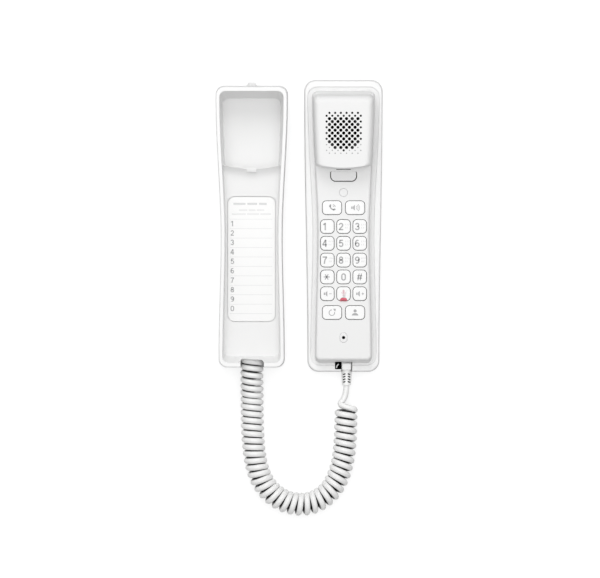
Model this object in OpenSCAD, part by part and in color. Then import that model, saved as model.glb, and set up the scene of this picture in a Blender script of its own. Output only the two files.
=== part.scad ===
/*
  Slimline wall phone, laid open on its back.
  The cradle stands on the wall plate's back face, z = 0, with its centre at the origin and its top
  towards +Y. The handset lies beside it, keypad up, and the curly cord joins their feet.
*/

/* [Raised body: the part of the handset that drops into the cradle] */
// Length of the raised body
pod_l = 202.5; // [199:0.5:208]
// Width of the raised body at the earpiece end
pod_w_top = 47; // [42:0.5:56]
// Width of the raised body at its waist
pod_w_waist = 39.2; // [37:0.2:46]
// Width of the raised body at the microphone end
pod_w_foot = 42.4; // [39:0.2:50]
// Corner radius of the raised body
pod_r = 4.5; // [3:0.5:7]
// Height of the keypad face above the handset's rim
face_rise = 8.5; // [6:0.5:11]
// Height of the earpiece dome above the handset's rim
dome_rise = 22; // [18:0.5:24]
// Distance from the handset's centre to the dome's lower face
dome_foot = 43.6; // [40:0.5:48]
// Radius of the dome's curved lower face
dome_r = 81; // [60:1:120]

/* [Handset] */
// Overall length of the handset
handset_l = 220; // [215:1:260]
// Width of the handset at the earpiece end
handset_w_top = 58.6; // [58:0.2:70]
// Width of the handset at the microphone end
handset_w_foot = 53.7; // [53:0.1:64]
// Height of the handset's rim above the table
rim_h = 15; // [14:0.5:19]
// Height of the seam between the two handset shells
seam_h = 8; // [7:0.5:9]
// Wall thickness of the handset shells
shell_t = 2.2; // [1.8:0.1:2.6]

/* [Earpiece] */
// Distance between neighbouring holes along a grille row
grille_pitch = 4.33; // [3.6:0.01:4.6]
// Diameter of a full-size grille hole
grille_d = 1.9; // [1:0.1:2.2]
// Diameter of a small grille hole
grille_small_d = 1.15; // [0.6:0.05:1.4]
// Distance from the handset's centre to the middle of the grille
grille_y = 70.2; // [68:0.1:73]
// Diameter of the earpiece receiver
receiver_d = 28; // [24:1:29]

/* [Keypad] */
// Width of a number key
key_w = 10; // [8:0.1:10.6]
// Height of a key
key_l = 10.1; // [8:0.1:10.6]
// Width of a function key
wide_key_w = 14.3; // [12:0.1:15.5]
// Corner radius of a key
key_r = 2.8; // [1.5:0.1:3.6]
// Spacing of the key columns
key_pitch_x = 12.25; // [12.1:0.05:12.8]
// Spacing of the number key rows
key_pitch_y = 12.7; // [12.4:0.1:14]
// Spacing between a function key row and the number keys
wide_pitch_y = 14.2; // [13:0.1:15]
// Spacing of the two keys in a function key row
wide_pitch_x = 17.4; // [17:0.1:18]
// Distance from the handset's centre to the middle row of number keys
keypad_y = -25.8; // [-28:0.1:-24]
// How far a key stands out of the keypad face
key_proud = 0.7; // [0.3:0.1:1.2]
// Travel of a key
key_travel = 1.2; // [0.6:0.1:1.4]

/* [Hook button] */
// Width of the hook button
hook_w = 20.2; // [14:0.1:24]
// Length of the hook button
hook_l = 9; // [7:0.1:10]
// How far the hook button stands out of the keypad face
hook_proud = 1.4; // [0.8:0.1:2]
// Travel of the hook button
hook_travel = 2.5; // [1.5:0.1:3]

/* [Cradle] */
// Height of the cradle's rim above the wall
cradle_h = 32; // [30:0.5:38]
// Width of the cradle's rim along its sides
cradle_wall = 2.8; // [2.4:0.1:3.2]
// Width of the cradle's rim at its two ends
cradle_end = 3.4; // [3:0.1:4.5]
// Depth of the recess for the earpiece dome below the rim
deep_d = 25; // [25:0.5:26]
// Depth of the tray for the keypad below the rim
tray_d = 13; // [12:0.5:14]
// Thickness of the wall plate
plate_t = 3; // [2.4:0.1:3.4]
// Spacing of the two keyholes in the wall plate
keyhole_pitch = 101.6; // [60:0.1:120]
// Diameter of a keyhole's round entry
keyhole_d = 8.4; // [7:0.1:10]
// Width of a keyhole's slot
keyhole_slot = 4.4; // [3.4:0.1:5]
// Width of the directory label
label_w = 35.8; // [24:0.1:36]
// Length of the directory label
label_l = 94; // [60:1:100]

/* [Curly cord] */
// Diameter of the cord
cord_d = 3.7; // [3:0.1:3.7]
// Outer diameter of the curls
curl_od = 17.3; // [14:0.1:17.4]
// Number of full curls
curls = 38; // [24:1:38]

/* [Clearances] */
// Gap between the raised body and the cradle's tray
tray_gap = 0.5; // [0.3:0.1:1]
// Gap between the cradle's rim and the groove round the raised body
groove_gap = 0.25; // [0.2:0.05:0.5]
// Gap round a key or button in its opening
key_gap = 0.3; // [0.2:0.05:0.4]
// Gap between a loose insert and its seat
seat_gap = 0.15; // [0.1:0.05:0.3]
// Gap round a screw's shank in its hole
screw_gap = 0.1; // [0.05:0.05:0.3]

/* [Hidden] */
$fn = 48;

// Where the handset's centre lies, with the cradle's centre at the origin
handset_at = [69.5, 0.8, 0];

// Y of the waist that the raised body and the cradle share
waist_y = -8;
// Length of each end over which a waisted side runs straight
straight_end = 5;
// Points along a side and in a corner of an outline
side_steps = 10;
corner_steps = 4;
// Overlap that joins two solids of one piece, and overshoot of a cut
bite = 0.5;

// Heights on the handset, from its back
face_z = rim_h + face_rise;
face_under = face_z - shell_t;
dome_z = rim_h + dome_rise;
dome_under = dome_z - shell_t;
flange_under = rim_h - shell_t;
handset_r = 8.5;
groove_d = 1;

// Heights on the cradle, from the wall
deep_z = cradle_h - deep_d;
tray_z = cradle_h - tray_d;
tray_t = 2;
tray_under = tray_z - tray_t;
skirt_z = 0.4;
skirt_t = 2.2;
cradle_out = [tray_gap + cradle_wall, tray_gap + cradle_end, tray_gap + cradle_end];
step_gap = 0.8;
bay_top = dome_foot - step_gap - tray_t;
bay_in = [cradle_out[0] - skirt_t - 0.8, cradle_out[1] - skirt_t - 0.8, cradle_out[2] - skirt_t - 0.8];

// Keys: name, column, row and kind, with rows counted upwards from the middle number row
key_flange_t = 1;
key_flange_w = min(0.7, (key_pitch_y - key_l) / 2 - seat_gap);
key_wall = 1.7;
key_top = face_z + key_proud;
key_flange_top = face_under - 0.1;
key_stem = 1;
membrane_t = 1;
dome_d = 6;
keys = [
    ["key_line", -1, 3, "wide"], ["key_speaker", 1, 3, "wide"],
    ["key_1", -1, 2, "number"], ["key_2", 0, 2, "number"], ["key_3", 1, 2, "number"],
    ["key_4", -1, 1, "number"], ["key_5", 0, 1, "number"], ["key_6", 1, 1, "number"],
    ["key_7", -1, 0, "number"], ["key_8", 0, 0, "number"], ["key_9", 1, 0, "number"],
    ["key_star", -1, -1, "number"], ["key_0", 0, -1, "number"], ["key_hash", 1, -1, "number"],
    ["key_volume_down", -1, -2, "number"], ["key_mute", 0, -2, "number"],
    ["key_volume_up", 1, -2, "number"],
    ["key_redial", -1, -3, "wide"], ["key_contacts", 1, -3, "wide"]
];
mute_lens_w = 5;
mute_lens_h = 2.4;

// Board, membrane and switch under the keys
board_t = 1.6;
board_top = face_under - 6.3;
board_w = pod_w_waist - 7.2;
board_y = [-78, 46];
membrane_top = board_top + membrane_t + 0.2;
dome_top = key_flange_top - key_flange_t - key_stem - key_travel - 0.1;
hook_y = dome_foot - key_gap - 0.3 - hook_l / 2;
hook_r = 3.8;
hook_bottom = key_flange_top - key_flange_t - 0.6;
dome_shoulder = 7;
dome_bend = 3;
dome_edge = 0.9;
lamp_y = 25.3;
lamp_d = 6;
mic_y = -84.3;
mic_d = 6;
mic_hole_d = 1.8;
mic_boot_d = 9;
gasket_t = 1.2;
gasket_w = 2;
receiver_t = 9;
receiver_wall = 1.5;
receiver_floor = 2;
magnet_d = 18;
magnet_t = 4;

// Lip and tab on the cradle's step, latch tongue at its top, label, board and what is on it
lip_t = 1.4;
lip_rise = 2.2;
tab_w = 8.4;
tab_rise = 4.3;
tongue_w = 6;
skirt_in = 2;
skirt_edge = 1.4;
rim_edge = 0.8;
tongue_out = 3.4;
label_y = -24.2;
label_r = 4.5;
label_t = 0.35;
label_step = 0.15;
board_z = [12.4, 14];
cradle_board_w = 23;
cradle_board_y = [-50, 28];
line_jack_y = 6;
line_jack_w = 16;
line_jack_l = 15;
line_jack_foot = 0.8;
ringer_y = -30;
ringer_d = 18;
ringer_t = 6;
chip_t = 1.4;

// Screws
screw_d = 2.6;
head_d = 4.8;
head_t = 1.6;
boss_d = 6;
handset_screw_at = [[-14, 90], [14, 90], [-14, -92], [15, -92]];
cradle_screw_at = [[-15.5, 34], [15.5, 34], [-15.5, -90], [15.5, -90]];
head_seat = 2.8;
plate_head_seat = 1.9;
screw_bite = 9;
posts_at = [[-12, 36], [12, 36], [-12, -74], [12, -74]];
post_d = 5;

// Cord plugs: the same plug and boot at both ends, each laid out from its boot's small end
plug_w = 7.5;
plug_h = 6.4;
plug_l = 13.2;
plug_show = 5.9;
boot_l = 12.4;
boot_d = 7.4;
boot_tip_d = 5.4;
jack_w = 12.6;
jack_l = 14;
jack_z = 7.9;
jack_x = 2.4;
cradle_jack_x = 0.6;
cradle_jack_z = 12;
slot_w = 12.9;
slot_y = [-103.1, -108.4];
mouth_w = 8.4;
notch_w = curl_od + 2.2;
notch_y = -99.6;

// Axis of the curly cord, from the cradle plug's boot to the handset plug's boot
cord_route = [
    [0.6, -88, 12], [0.6, -94, 12], [0.6, -101, 12], [0.7, -110, 11.6], [0.8, -120, 10.4],
    [0.9, -131, 9.1], [1, -143, 8.8], [1.2, -154, 8.8], [1.9, -165, 8.8], [3.9, -177, 8.8],
    [8.6, -188.5, 8.8], [16.4, -198.6, 8.8], [26.8, -205.4, 8.8], [38, -207.7, 8.8],
    [49.2, -205.2, 8.8], [58.9, -198.2, 8.8], [65.8, -188, 8.8], [69.8, -176, 8.8],
    [71.2, -163, 8.8], [71.5, -152, 8.8], [71.7, -141, 8.8], [71.9, -132, 7.9],
    [71.9, -126, 7.9], [71.9, -119.8, 7.9]
];

// ---- Outlines and lofts ----

function mix(a, b, t) = a + (b - a) * t;
function smooth(t) = let (k = min(max(t, 0), 1)) k * k * (3 - 2 * k);

// Half width of the raised body, and of the handset, at a distance from the centre
function pod_half(y) =
    let (reach = pod_l / 2 - straight_end)
    y > waist_y
        ? mix(pod_w_waist, pod_w_top, smooth((y - waist_y) / (reach - waist_y))) / 2
        : mix(pod_w_waist, pod_w_foot, smooth((waist_y - y) / (reach + waist_y))) / 2;
function handset_half(y) =
    let (reach = handset_l / 2 - 2 * straight_end)
    mix(handset_w_foot, handset_w_top, smooth((y + reach) / (2 * reach))) / 2;
function half(kind, y) = kind == "pod" ? pod_half(y) : handset_half(y);
function span(kind) = kind == "pod" ? pod_l : handset_l;

// Right-hand edge of an outline, from foot to top: a corner arc, the side and a corner arc.
// grow moves the sides, the top and the foot outwards.
function edge(kind, corner, grow) =
    let (
        r = max(corner, 0.8),
        top = span(kind) / 2 + grow[1],
        foot = -span(kind) / 2 - grow[2],
        foot_x = half(kind, foot + r) + grow[0] - r,
        top_x = half(kind, top - r) + grow[0] - r
    )
    [
        for (i = [0 : corner_steps])
            let (a = -90 + 90 * i / corner_steps) [foot_x + r * cos(a), foot + r + r * sin(a)],
        for (i = [1 : side_steps - 1])
            let (y = mix(foot + r, top - r, i / side_steps)) [half(kind, y) + grow[0], y],
        for (i = [0 : corner_steps])
            let (a = 90 * i / corner_steps) [top_x + r * cos(a), top - r + r * sin(a)]
    ];

// Solid through a stack of outlines. A level is [height, corner radius, [sides, top, foot]].
module loft(kind, levels) {
    edges = [for (l = levels) edge(kind, l[1], l[2])];
    m = len(edges[0]);
    n = 2 * m;
    points = [
        for (k = [0 : len(levels) - 1])
            each concat(
                [for (p = edges[k]) [p[0], p[1], levels[k][0]]],
                [for (i = [m - 1 : -1 : 0]) [-edges[k][i][0], edges[k][i][1], levels[k][0]]]
            )
    ];
    sides = [
        for (k = [0 : len(levels) - 2], i = [0 : n - 1])
            let (a = k * n + i, b = k * n + (i + 1) % n)
            each [[a, a + n, b + n], [a, b + n, b]]
    ];
    last = (len(levels) - 1) * n;
    caps = [
        for (i = [0 : m - 2])
            let (j = n - 1 - i)
            each [
                [i, i + 1, j - 1], [i, j - 1, j],
                [last + i, last + j, last + j - 1], [last + i, last + j - 1, last + i + 1]
            ]
    ];
    polyhedron(points, concat(sides, caps));
}

// The same growth on every side, and a growth with its own value at the two ends
function all(g) = [g, g, g];
function ends(g, top, foot) = [g, top, foot];

// Rectangle with true round corners
module rounded(w, l, r) {
    square([w - 2 * r, l], center = true);
    square([w, l - 2 * r], center = true);
    for (x = [-1, 1], y = [-1, 1]) translate([x * (w / 2 - r), y * (l / 2 - r)]) circle(r);
}

module block(x, y, z) {
    translate([x[0], y[0], z[0]]) cube([x[1] - x[0], y[1] - y[0], z[1] - z[0]]);
}

module on_handset() {
    translate(handset_at) children();
}

// Disc whose lower edge is the dome's curved lower face
module dome_disc(inset, z) {
    translate([0, dome_foot + dome_r, z[0]]) cylinder(h = z[1] - z[0], r = dome_r - inset, $fn = 96);
}

// ---- Handset shells ----

// Opening in the handset's foot that the cord's boot passes through
module cord_mouth() {
    block([jack_x - mouth_w / 2, jack_x + mouth_w / 2],
          [-handset_l / 2 - 1, slot_y[0]],
          [jack_z - boot_d / 2 - 0.6, rim_h + 1]);
}

// Back half of the handset, with screw bosses, board posts and a guide fin beside the plug
module handset_rear_shell() {
    color("white") on_handset() difference() {
        union() {
            difference() {
                loft("handset", [
                    [0, handset_r - 4, all(-6.5)], [1.2, handset_r - 3, all(-3.8)],
                    [3, handset_r - 1.5, all(-2)], [5.5, handset_r, all(-0.7)],
                    [seam_h, handset_r, all(0)]
                ]);
                loft("handset", [
                    [shell_t, handset_r - 5, all(-7.6)], [shell_t + 2, handset_r - 4, all(-4.6)],
                    [5.8, handset_r - 2.5, all(-shell_t - 0.7)],
                    [seam_h + 1, handset_r - shell_t, all(-shell_t)]
                ]);
            }
            for (p = handset_screw_at)
                translate([p[0], p[1], shell_t - bite])
                    cylinder(h = seam_h - 0.2 - shell_t + bite, d = boss_d + 1);
            for (p = posts_at)
                translate([p[0], p[1], shell_t - bite])
                    cylinder(h = board_top - board_t - shell_t + bite, d = post_d);
            translate([-slot_w / 2 + 5.6, slot_y[0] - 2.6, shell_t - bite])
                rotate([0, 0, 150]) rotate_extrude(angle = 60)
                    translate([3.6, 0]) square([0.8, rim_h - 4 - shell_t]);
        }
        for (p = handset_screw_at) translate([p[0], p[1], -1]) {
            cylinder(h = seam_h + 1, d = screw_d + 2 * screw_gap);
            cylinder(h = head_seat + 1, d = head_d + 4 * screw_gap);
        }
        cord_mouth();
    }
}

// How far out from the middle column the last four rows still have holes that go through
grille_reach = [2.9, 1.6, 0.1, 0];

// Positions and sizes of the grille's holes: [x, y, diameter, through]
grille_holes = [
    for (row = [0 : 14])
        let (count = row % 2 == 0 ? 6 : 7, y = grille_y + (7 - row) * grille_pitch / 2)
        for (i = [0 : count - 1])
            let (
                x = (i - (count - 1) / 2) * grille_pitch,
                column = abs(i - (count - 1) / 2),
                small = row < 2 || row > 12 || column > 2.9,
                through = row < 11 || column < grille_reach[row - 11]
            )
            [x, y, small ? grille_small_d : grille_d, through]
];

function key_x(k) = k[1] * (k[3] == "wide" ? wide_pitch_x / 2 : key_pitch_x);
function key_y(k) =
    keypad_y + sign(k[2]) * (min(abs(k[2]), 2) * key_pitch_y + max(abs(k[2]) - 2, 0) * wide_pitch_y);
function key_width(k) = k[3] == "wide" ? wide_key_w : key_w;

// Front half of the handset: rim, groove, raised keypad body and earpiece dome
module handset_front_shell() {
    groove = tray_gap + groove_gap;
    color("white") on_handset() difference() {
        union() {
            difference() {
                loft("handset", [
                    [seam_h, handset_r, all(0)], [rim_h - 1.4, handset_r, all(0)],
                    [rim_h - 0.4, handset_r - 0.4, all(-0.4)], [rim_h, handset_r - 1.2, all(-1.2)]
                ]);
                loft("pod", [
                    [rim_h - groove_d, pod_r + cradle_wall,
                     ends(groove + cradle_wall, groove + cradle_end, groove + cradle_end)],
                    [rim_h + 1, pod_r + cradle_wall,
                     ends(groove + cradle_wall, groove + cradle_end, groove + cradle_end)]
                ]);
            }
            loft("pod", [
                [flange_under + bite, pod_r, all(0)], [rim_h, pod_r, all(0)],
                [face_z - 1.4, pod_r - 0.5, all(-0.5)], [face_z - 0.4, pod_r - 1, all(-1)],
                [face_z, pod_r - 1.8, all(-1.8)]
            ]);
            intersection() {
                loft("pod", [
                    [rim_h + 2, pod_r, all(-0.1)],
                    [dome_z - dome_shoulder, pod_r, ends(-0.7, -2.8, 0)],
                    [dome_z - dome_bend, pod_r, ends(-1.7, -4, 0)],
                    [dome_z - dome_edge, pod_r - 1, ends(-3.2, -5.4, 0)],
                    [dome_z, pod_r - 2, ends(-4.8, -7, 0)]
                ]);
                dome_disc(0, [rim_h, dome_z + 1]);
            }
            for (p = handset_screw_at)
                translate([p[0], p[1], seam_h])
                    cylinder(h = (p[1] > 0 ? dome_under : face_under) - seam_h + bite, d = boss_d);
        }
        difference() {
            union() {
                loft("handset", [
                    [seam_h - 1, handset_r - shell_t, all(-shell_t)],
                    [flange_under - groove_d, handset_r - shell_t, all(-shell_t)]
                ]);
                loft("pod", [
                    [flange_under - groove_d - bite, pod_r - 1,
                     ends(-key_wall, -shell_t - 0.4, -shell_t - 0.4)],
                    [face_under, pod_r - 2, ends(-key_wall - 0.1, -shell_t - 0.8, -shell_t - 0.8)]
                ]);
                intersection() {
                    loft("pod", [
                        [rim_h, pod_r - 1, all(-shell_t - 1)],
                        [dome_z - dome_shoulder, pod_r - 1, ends(-shell_t - 1.4, -5.2, 0)],
                        [dome_z - dome_bend - shell_t / 2, pod_r - 1, ends(-shell_t - 2, -6.4, 0)],
                        [dome_under, pod_r - 2, ends(-shell_t - 4, -8.6, 0)]
                    ]);
                    dome_disc(shell_t, [rim_h - 1, dome_z]);
                }
            }
            for (p = handset_screw_at)
                translate([p[0], p[1], seam_h]) cylinder(h = dome_z - seam_h, d = boss_d);
        }
        for (k = keys) translate([key_x(k), key_y(k), face_under - 1])
            linear_extrude(shell_t + 2)
                rounded(key_width(k) + 2 * key_gap, key_l + 2 * key_gap, key_r + key_gap);
        translate([0, hook_y, face_under - 1]) linear_extrude(shell_t + 2)
            rounded(hook_w + 2 * key_gap, hook_l + 2 * key_gap, hook_r + key_gap);
        translate([0, lamp_y, face_under - 1])
            cylinder(h = shell_t + 2, d = lamp_d + 2 * seat_gap);
        translate([0, mic_y, face_under - 1]) cylinder(h = shell_t + 2, d = mic_hole_d);
        for (g = grille_holes) translate([g[0], g[1], g[3] ? dome_under - 1 : dome_z - 0.5])
            cylinder(h = shell_t + 2, d = g[2], $fn = 16);
        for (p = handset_screw_at) translate([p[0], p[1], seam_h - 1])
            cylinder(h = screw_bite + 1.5, d = screw_d + 2 * screw_gap);
        block([-slot_w / 2, slot_w / 2], [slot_y[1], slot_y[0]], [seam_h, rim_h + 1]);
        cord_mouth();
    }
}

// ---- Handset contents ----

module receiver() {
    color("dimgray") on_handset() translate([0, grille_y, dome_under - gasket_t - receiver_t])
        difference() {
            cylinder(h = receiver_t, d = receiver_d);
            translate([0, 0, receiver_floor])
                cylinder(h = receiver_t, d = receiver_d - 2 * receiver_wall);
            translate([0, 0, -1]) cylinder(h = receiver_floor + 2, d = magnet_d / 2);
        }
}

module receiver_magnet() {
    color("silver") on_handset()
        translate([0, grille_y, dome_under - gasket_t - receiver_t - magnet_t])
            cylinder(h = magnet_t, d = magnet_d);
}

module receiver_gasket() {
    color("black") on_handset() translate([0, grille_y, dome_under - gasket_t]) difference() {
        cylinder(h = gasket_t, d = receiver_d);
        translate([0, 0, -1]) cylinder(h = gasket_t + 2, d = receiver_d - 2 * gasket_w);
    }
}

// A key: a cap that stands out of the face, and a flange that holds it in behind the face
module key(name) {
    k = [for (entry = keys) if (entry[0] == name) entry][0];
    color("whitesmoke") on_handset() translate([key_x(k), key_y(k), 0]) difference() {
        union() {
            translate([0, 0, key_flange_top - key_flange_t])
                linear_extrude(key_top - key_flange_top + key_flange_t)
                    rounded(key_width(k), key_l, key_r);
            translate([0, 0, key_flange_top - key_flange_t]) linear_extrude(key_flange_t)
                rounded(key_width(k), key_l + 2 * key_flange_w, key_r);
            translate([0, 0, key_flange_top - key_flange_t - key_stem])
                cylinder(h = key_stem + bite, d = dome_d - 1);
        }
        if (name == "key_mute") translate([0, -key_l / 2, key_top - 1]) mute_lens_pocket();
    }
}

// Pocket in the mute key for its lamp lens, a half disc on the key's lower edge
module mute_lens_pocket() {
    intersection() {
        cylinder(h = 2, d = mute_lens_w + 2 * seat_gap);
        block([-mute_lens_w, mute_lens_w], [-1, mute_lens_h + seat_gap], [0, 2]);
    }
}

module mute_lamp_lens() {
    k = [for (entry = keys) if (entry[0] == "key_mute") entry][0];
    color("red") on_handset() translate([key_x(k), key_y(k) - key_l / 2, key_top - 1])
        intersection() {
            cylinder(h = 1.1, d = mute_lens_w);
            block([-mute_lens_w, mute_lens_w], [0.1, mute_lens_h], [0, 1.1]);
        }
}

module hook_button() {
    color("whitesmoke") on_handset() translate([0, hook_y, 0]) {
        translate([0, 0, key_flange_top - key_flange_t])
            linear_extrude(face_z + hook_proud - key_flange_top + key_flange_t)
                rounded(hook_w, hook_l, hook_r);
        translate([0, -0.5, key_flange_top - key_flange_t]) linear_extrude(key_flange_t)
            rounded(hook_w + 2 * key_flange_w, hook_l, hook_r);
        translate([0, 0, hook_bottom]) cylinder(h = 1.6, d = 5);
    }
}

module hook_switch() {
    color("black") on_handset() translate([0, hook_y, board_top]) {
        translate([-3, -3, 0]) cube([6, 6, 1.4]);
        translate([0, 0, 1]) cylinder(h = hook_bottom - hook_travel - 0.1 - board_top - 1, d = 3);
    }
}

module status_lamp_lens() {
    color("gainsboro") on_handset() translate([0, lamp_y, face_under - 0.8]) {
        cylinder(h = shell_t + 0.8, d = lamp_d);
        cylinder(h = 0.8, d = lamp_d + 1.6);
    }
}

// Rubber sheet on the board, with a dome under each key
module keypad_membrane() {
    reach = key_y(keys[0]) - keypad_y + key_l / 2 + 0.6;
    color("lightgray") on_handset() {
        block([-board_w / 2 + 1, board_w / 2 - 1], [keypad_y - reach, keypad_y + reach],
              [board_top, board_top + membrane_t]);
        for (k = keys) translate([key_x(k), key_y(k), board_top + membrane_t - bite])
            cylinder(h = dome_top - board_top - membrane_t + bite, d1 = dome_d, d2 = dome_d - 2);
    }
}

module handset_board() {
    under = board_top - board_t;
    color("darkgreen") on_handset() {
        block([-board_w / 2, board_w / 2], board_y, [under, board_top]);
        block([-6, 6], [-14, -2], [under - chip_t, under + bite]);
        block([-9, -3], [10, 20], [under - 2, under + bite]);
        translate([7, 14, under - 5]) cylinder(h = 5 + bite, d = 6);
    }
}

module microphone() {
    color("silver") on_handset() translate([0, mic_y, face_under - 3.4]) cylinder(h = 2.4, d = mic_d);
}

module microphone_boot() {
    color("black") on_handset() translate([0, mic_y, face_under - 4.2]) difference() {
        cylinder(h = 4.2, d = mic_boot_d);
        translate([0, 0, 0.8]) cylinder(h = 2.4, d = mic_d);
        cylinder(h = 5, d = mic_hole_d);
    }
}

module handset_screws() {
    color("silver") on_handset() for (p = handset_screw_at)
        translate([p[0], p[1], head_seat]) screw(seam_h - head_seat + screw_bite);
}

// Screw with its head's underside at the origin, pointing up
module screw(length) {
    translate([0, 0, -head_t / 4]) cylinder(h = length + head_t / 4, d = screw_d);
    translate([0, 0, -head_t]) difference() {
        cylinder(h = head_t, d = head_d);
        for (a = [0, 90]) rotate([0, 0, a]) translate([-1.4, -0.35, -1]) cube([2.8, 0.7, 1.9]);
    }
}

// ---- Cradle ----

// One-piece cradle: tray and deep recess in front, bay for the board and wall plate behind
module cradle_shell() {
    rim = cradle_out;
    tab_y = [dome_foot - step_gap - 4.4, dome_foot - step_gap + 1];
    color("white") difference() {
        union() {
            difference() {
                loft("pod", [
                    [skirt_z, pod_r, rim - all(skirt_in)],
                    [skirt_z + skirt_edge, pod_r + 1, rim - all(skirt_in - 1.2)],
                    [cradle_h - rim_edge, pod_r + 2, rim],
                    [cradle_h, pod_r + 1.4, rim - all(rim_edge - 0.3)]
                ]);
                intersection() {
                    loft("pod", [
                        [deep_z, pod_r, ends(tray_gap - 2.4, tray_gap - 4.6, 0)],
                        [deep_z + 1.2, pod_r, ends(tray_gap - 1.6, tray_gap - 3.6, 0)],
                        [cradle_h + 1, pod_r, ends(tray_gap, tray_gap, 0)]
                    ]);
                    dome_disc(-step_gap, [deep_z - 1, cradle_h + 2]);
                }
                loft("pod", [
                    [tray_z, pod_r, ends(tray_gap - 1, -40, tray_gap - 3.8)],
                    [tray_z + 1, pod_r, ends(tray_gap - 0.6, -40, tray_gap - 2.9)],
                    [cradle_h + 1, pod_r, ends(tray_gap, -40, tray_gap)]
                ]);
                loft("pod", [
                    [skirt_z - 1, pod_r, bay_in], [deep_z - tray_t, pod_r, bay_in]
                ]);
                loft("pod", [
                    [deep_z - tray_t - 1, pod_r, ends(bay_in[0], bay_top - pod_l / 2, bay_in[2])],
                    [tray_under, pod_r, ends(bay_in[0], bay_top - pod_l / 2, bay_in[2])]
                ]);
            }
            block([-tab_w / 2, tab_w / 2], tab_y, [tray_z - bite, tray_z + tab_rise]);
            intersection() {
                loft("pod", [
                    [tray_z - bite, pod_r, all(tray_gap + bite)],
                    [tray_z + lip_rise, pod_r, all(tray_gap + bite)]
                ]);
                difference() {
                    dome_disc(-step_gap - lip_t, [tray_z - bite, tray_z + lip_rise]);
                    dome_disc(-step_gap, [tray_z - 1, tray_z + lip_rise + 1]);
                }
            }
            for (p = cradle_screw_at) translate([p[0], p[1], plate_t])
                cylinder(h = tray_z - 1 - plate_t, d = boss_d + 0.6);
            for (x = [-8, 8], y = [24, -46]) translate([x, y, board_z[1]])
                cylinder(h = tray_z - 1 - board_z[1], d = post_d);
        }
        for (p = cradle_screw_at) translate([p[0], p[1], plate_t - 1])
            cylinder(h = screw_bite + 1.5, d = screw_d + 2 * screw_gap);
        block([cradle_jack_x - notch_w / 2, cradle_jack_x + notch_w / 2],
              [-pod_l / 2 - 8, notch_y], [cradle_jack_z - notch_w / 2 + 0.8, cradle_h + 1]);
        block([-tongue_w / 2 - seat_gap, tongue_w / 2 + seat_gap],
              [pod_l / 2 - 6, pod_l / 2 + 8], [-1, plate_t + seat_gap]);
        translate([0, label_y, tray_z - label_step]) linear_extrude(2)
            rounded(label_w + 2 * seat_gap, label_l + 2 * seat_gap, label_r + seat_gap);
    }
}

// Back plate: screws to the wall by its keyholes, with a tongue that latches the cradle's top
module wall_plate() {
    inset = seat_gap * 2;
    color("white") difference() {
        union() {
            loft("pod", [
                [0, pod_r - inset, ends(bay_in[0] - inset, bay_in[1] - inset, bay_in[2] - inset)],
                [plate_t, pod_r - inset, ends(bay_in[0] - inset, bay_in[1] - inset, bay_in[2] - inset)]
            ]);
            block([-tongue_w / 2, tongue_w / 2],
                  [pod_l / 2 - 8, pod_l / 2 + cradle_out[1] + tongue_out], [skirt_z, plate_t]);
        }
        for (y = [-1, 1] * keyhole_pitch / 2) translate([0, y, -1]) {
            cylinder(h = plate_t + 2, d = keyhole_d);
            block([-keyhole_slot / 2, keyhole_slot / 2], [0, keyhole_d], [0, plate_t + 2]);
            translate([0, keyhole_d, 0]) cylinder(h = plate_t + 2, d = keyhole_slot);
        }
        for (p = cradle_screw_at) translate([p[0], p[1], -1]) {
            cylinder(h = plate_t + 2, d = screw_d + 2 * screw_gap);
            cylinder(h = 1 + plate_head_seat, d = head_d + 4 * screw_gap);
        }
        block([-line_jack_w / 2 - seat_gap, line_jack_w / 2 + seat_gap],
              [line_jack_y - line_jack_l / 2 - seat_gap, line_jack_y + line_jack_l / 2 + seat_gap],
              [-1, plate_t + 1]);
        block([cradle_jack_x - notch_w / 2 - 1, cradle_jack_x + notch_w / 2 + 1],
              [-pod_l / 2 - 8, notch_y + 1], [-1, plate_t + 1]);
    }
}

module cradle_screws() {
    color("silver") for (p = cradle_screw_at)
        translate([p[0], p[1], plate_head_seat]) screw(plate_t - plate_head_seat + screw_bite);
}

module directory_label() {
    color("white") translate([0, label_y, tray_z - label_step]) linear_extrude(label_t)
        rounded(label_w, label_l, label_r);
}

module cradle_board() {
    color("darkgreen") {
        block([-cradle_board_w / 2, cradle_board_w / 2], cradle_board_y, board_z);
        block([-6, 4], [-14, -6], [board_z[0] - chip_t, board_z[0] + bite]);
        translate([7, 20, board_z[0] - 6]) cylinder(h = 6 + bite, d = 6);
    }
}

// Modular socket for the line cord, open towards the wall
module line_jack() {
    color("black") difference() {
        block([-line_jack_w / 2, line_jack_w / 2],
              [line_jack_y - line_jack_l / 2, line_jack_y + line_jack_l / 2],
              [line_jack_foot, board_z[0]]);
        block([-5.9, 5.9], [line_jack_y - 3.4, line_jack_y + 4.2], [0, board_z[0] - 1.6]);
        block([-2, 2], [line_jack_y - 5.2, line_jack_y], [0, board_z[0] - 1.6]);
    }
}

module ringer() {
    color("dimgray") translate([0, ringer_y, board_z[0] - ringer_t]) difference() {
        cylinder(h = ringer_t, d = ringer_d);
        translate([0, 0, -1]) cylinder(h = 2.5, d = ringer_d - 4);
    }
}

// ---- Cord ----

// Modular socket that takes a cord plug from the foot; its mouth is the module's origin
module cord_jack(height) {
    color("black") difference() {
        block([-jack_w / 2, jack_w / 2], [0, jack_l], [height[0], height[1]]);
        block([-plug_w / 2 - seat_gap, plug_w / 2 + seat_gap], [-1, plug_l - plug_show + seat_gap],
              [-plug_h / 2 - seat_gap, plug_h / 2 + seat_gap]);
    }
}

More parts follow.
